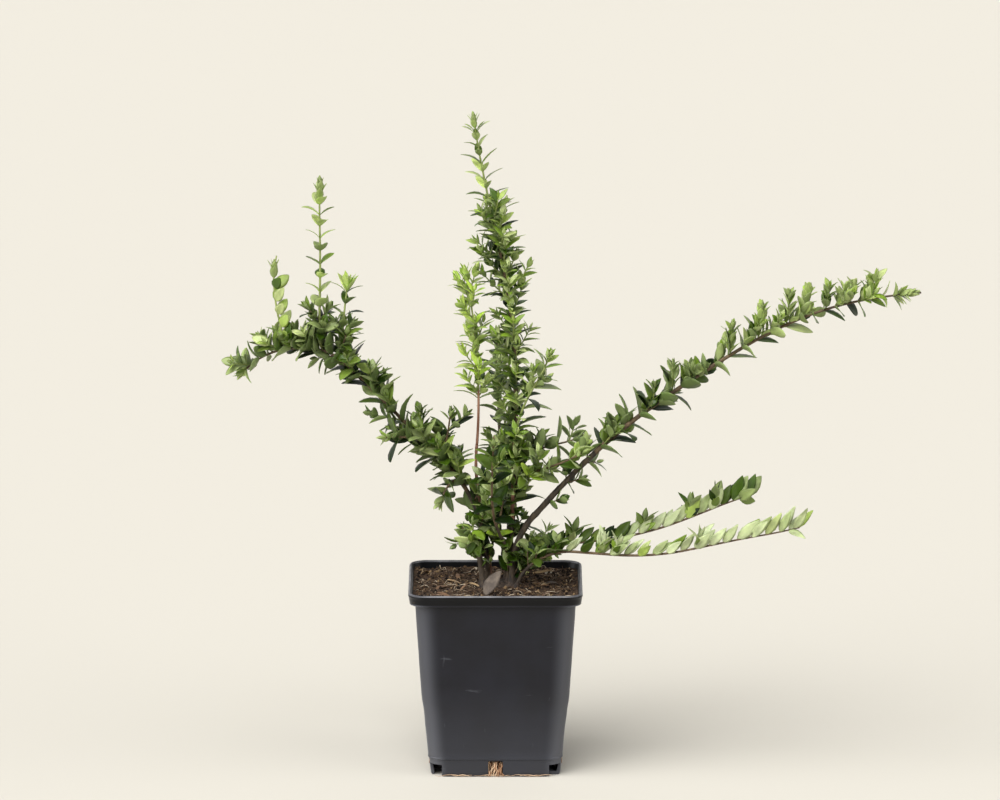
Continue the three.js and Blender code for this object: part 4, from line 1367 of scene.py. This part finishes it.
# Fine ones that have crept out and lie along the foot in front
for index in range(7):
    key = (index, 731)
    start = mix(-33, 16, roll(*key, 1))
    span = mix(8, 20, roll(*key, 2))
    route = []
    for k in range(10):
        share = k / 9
        out = 0.35 + 0.5 * abs(math.sin(4 * share + 6 * roll(*key, 3)))
        z = 0.35 + 0.9 * abs(math.sin(5 * share + 6 * roll(*key, 4)))
        route.append((start + span * share, -HALF_FOOT - out, z))
    roots.add(*strand(route, mix(0.1, 0.2, roll(*key, 5)), 5), 0)
roots.build("drain_roots", family("root", 500, (
    ("pale", (178, 144, 112), (214, 184, 152), 0.7),
    ("brown", (128, 90, 62), (164, 122, 88), 0.7),
)), "soil")

# Stage, light and camera

PIXELS_PER_MM = 1.92
ELEVATION = math.radians(11.2)
DISTANCE = 5.0
ORIGIN_AT = (495.5, 761.8)
IMAGE = (1000, 800)
FLOOR_HALF = 30000
PALE = (0.656, 0.624, 0.552)
# An even grey room with soft bright panels: a direction, the cosines where a panel fades in
# and is full, and its brightness.
ROOM = 0.16
PANELS = (
    ((-0.82, -0.42, 0.36), 0.8, 0.92, 3.2),
    ((0.86, -0.4, 0.34), 0.82, 0.93, 1.9),
    ((0, 1, 0.22), 0.6, 0.92, 0.5),
    ((-0.25, -0.4, 0.88), 0.9, 0.95, 2.6),
)

floor = new_piece("floor", [(x * FLOOR_HALF, y * FLOOR_HALF, 0)
                            for x, y in ((-1, -1), (1, -1), (1, 1), (-1, 1))], [(0, 1, 2, 3)])
paper = bpy.data.materials.new("paper")
paper.use_nodes = True
feed(paper.node_tree, paper.node_tree.nodes["Principled BSDF"], {
    "Base Color": (*PALE, 1), "Roughness": 0.95, "Specular IOR Level": 0.0})
floor.data.materials.append(paper)

world = bpy.data.worlds.new("studio")
world.use_nodes = True
sky = world.node_tree
place = add_node(sky, "ShaderNodeTexCoord", "Generated", {})
total = ROOM
for way, fades, full, bright in PANELS:
    facing = add_node(sky, "ShaderNodeVectorMath", "Value", {
        0: place, 1: Vector(way).normalized()}, "DOT_PRODUCT")
    panel = ranged(sky, facing, smooth=True, from_min=fades, from_max=full, to_max=bright)
    total = combined(sky, "ADD", total, panel)
feed(sky, sky.nodes["Background"], {"Strength": total, "Color": (1, 1, 1, 1)})
bpy.context.scene.world = world
bpy.context.scene.view_settings.view_transform = "Standard"

# The key light: a wide, far lamp above and to the left of the camera
lamp = bpy.data.lights.new("key", "SUN")
lamp.energy = 1.5
lamp.angle = math.radians(40)
key_light = new_object("key", lamp)
key_light.rotation_euler = Vector((-0.2, -0.85, 0.95)).to_track_quat("Z", "Y").to_euler()

# The camera looks along +Y and down, so that the frame's origin is where the photo has it.
right = Vector((1, 0, 0))
back = Vector((0, -math.cos(ELEVATION), math.sin(ELEVATION)))
aim = (
    right * ((IMAGE[0] / 2 - ORIGIN_AT[0]) / PIXELS_PER_MM * MM)
    + back.cross(right) * ((ORIGIN_AT[1] - IMAGE[1] / 2) / PIXELS_PER_MM * MM)
)
view = bpy.data.cameras.new("camera")
view.sensor_width = 36
view.lens = DISTANCE * view.sensor_width / (IMAGE[0] / PIXELS_PER_MM * MM)
view.clip_end = 100
camera = new_object("camera", view)
camera.location = aim + back * DISTANCE
camera.rotation_euler = back.to_track_quat("Z", "Y").to_euler()
bpy.context.scene.camera = camera
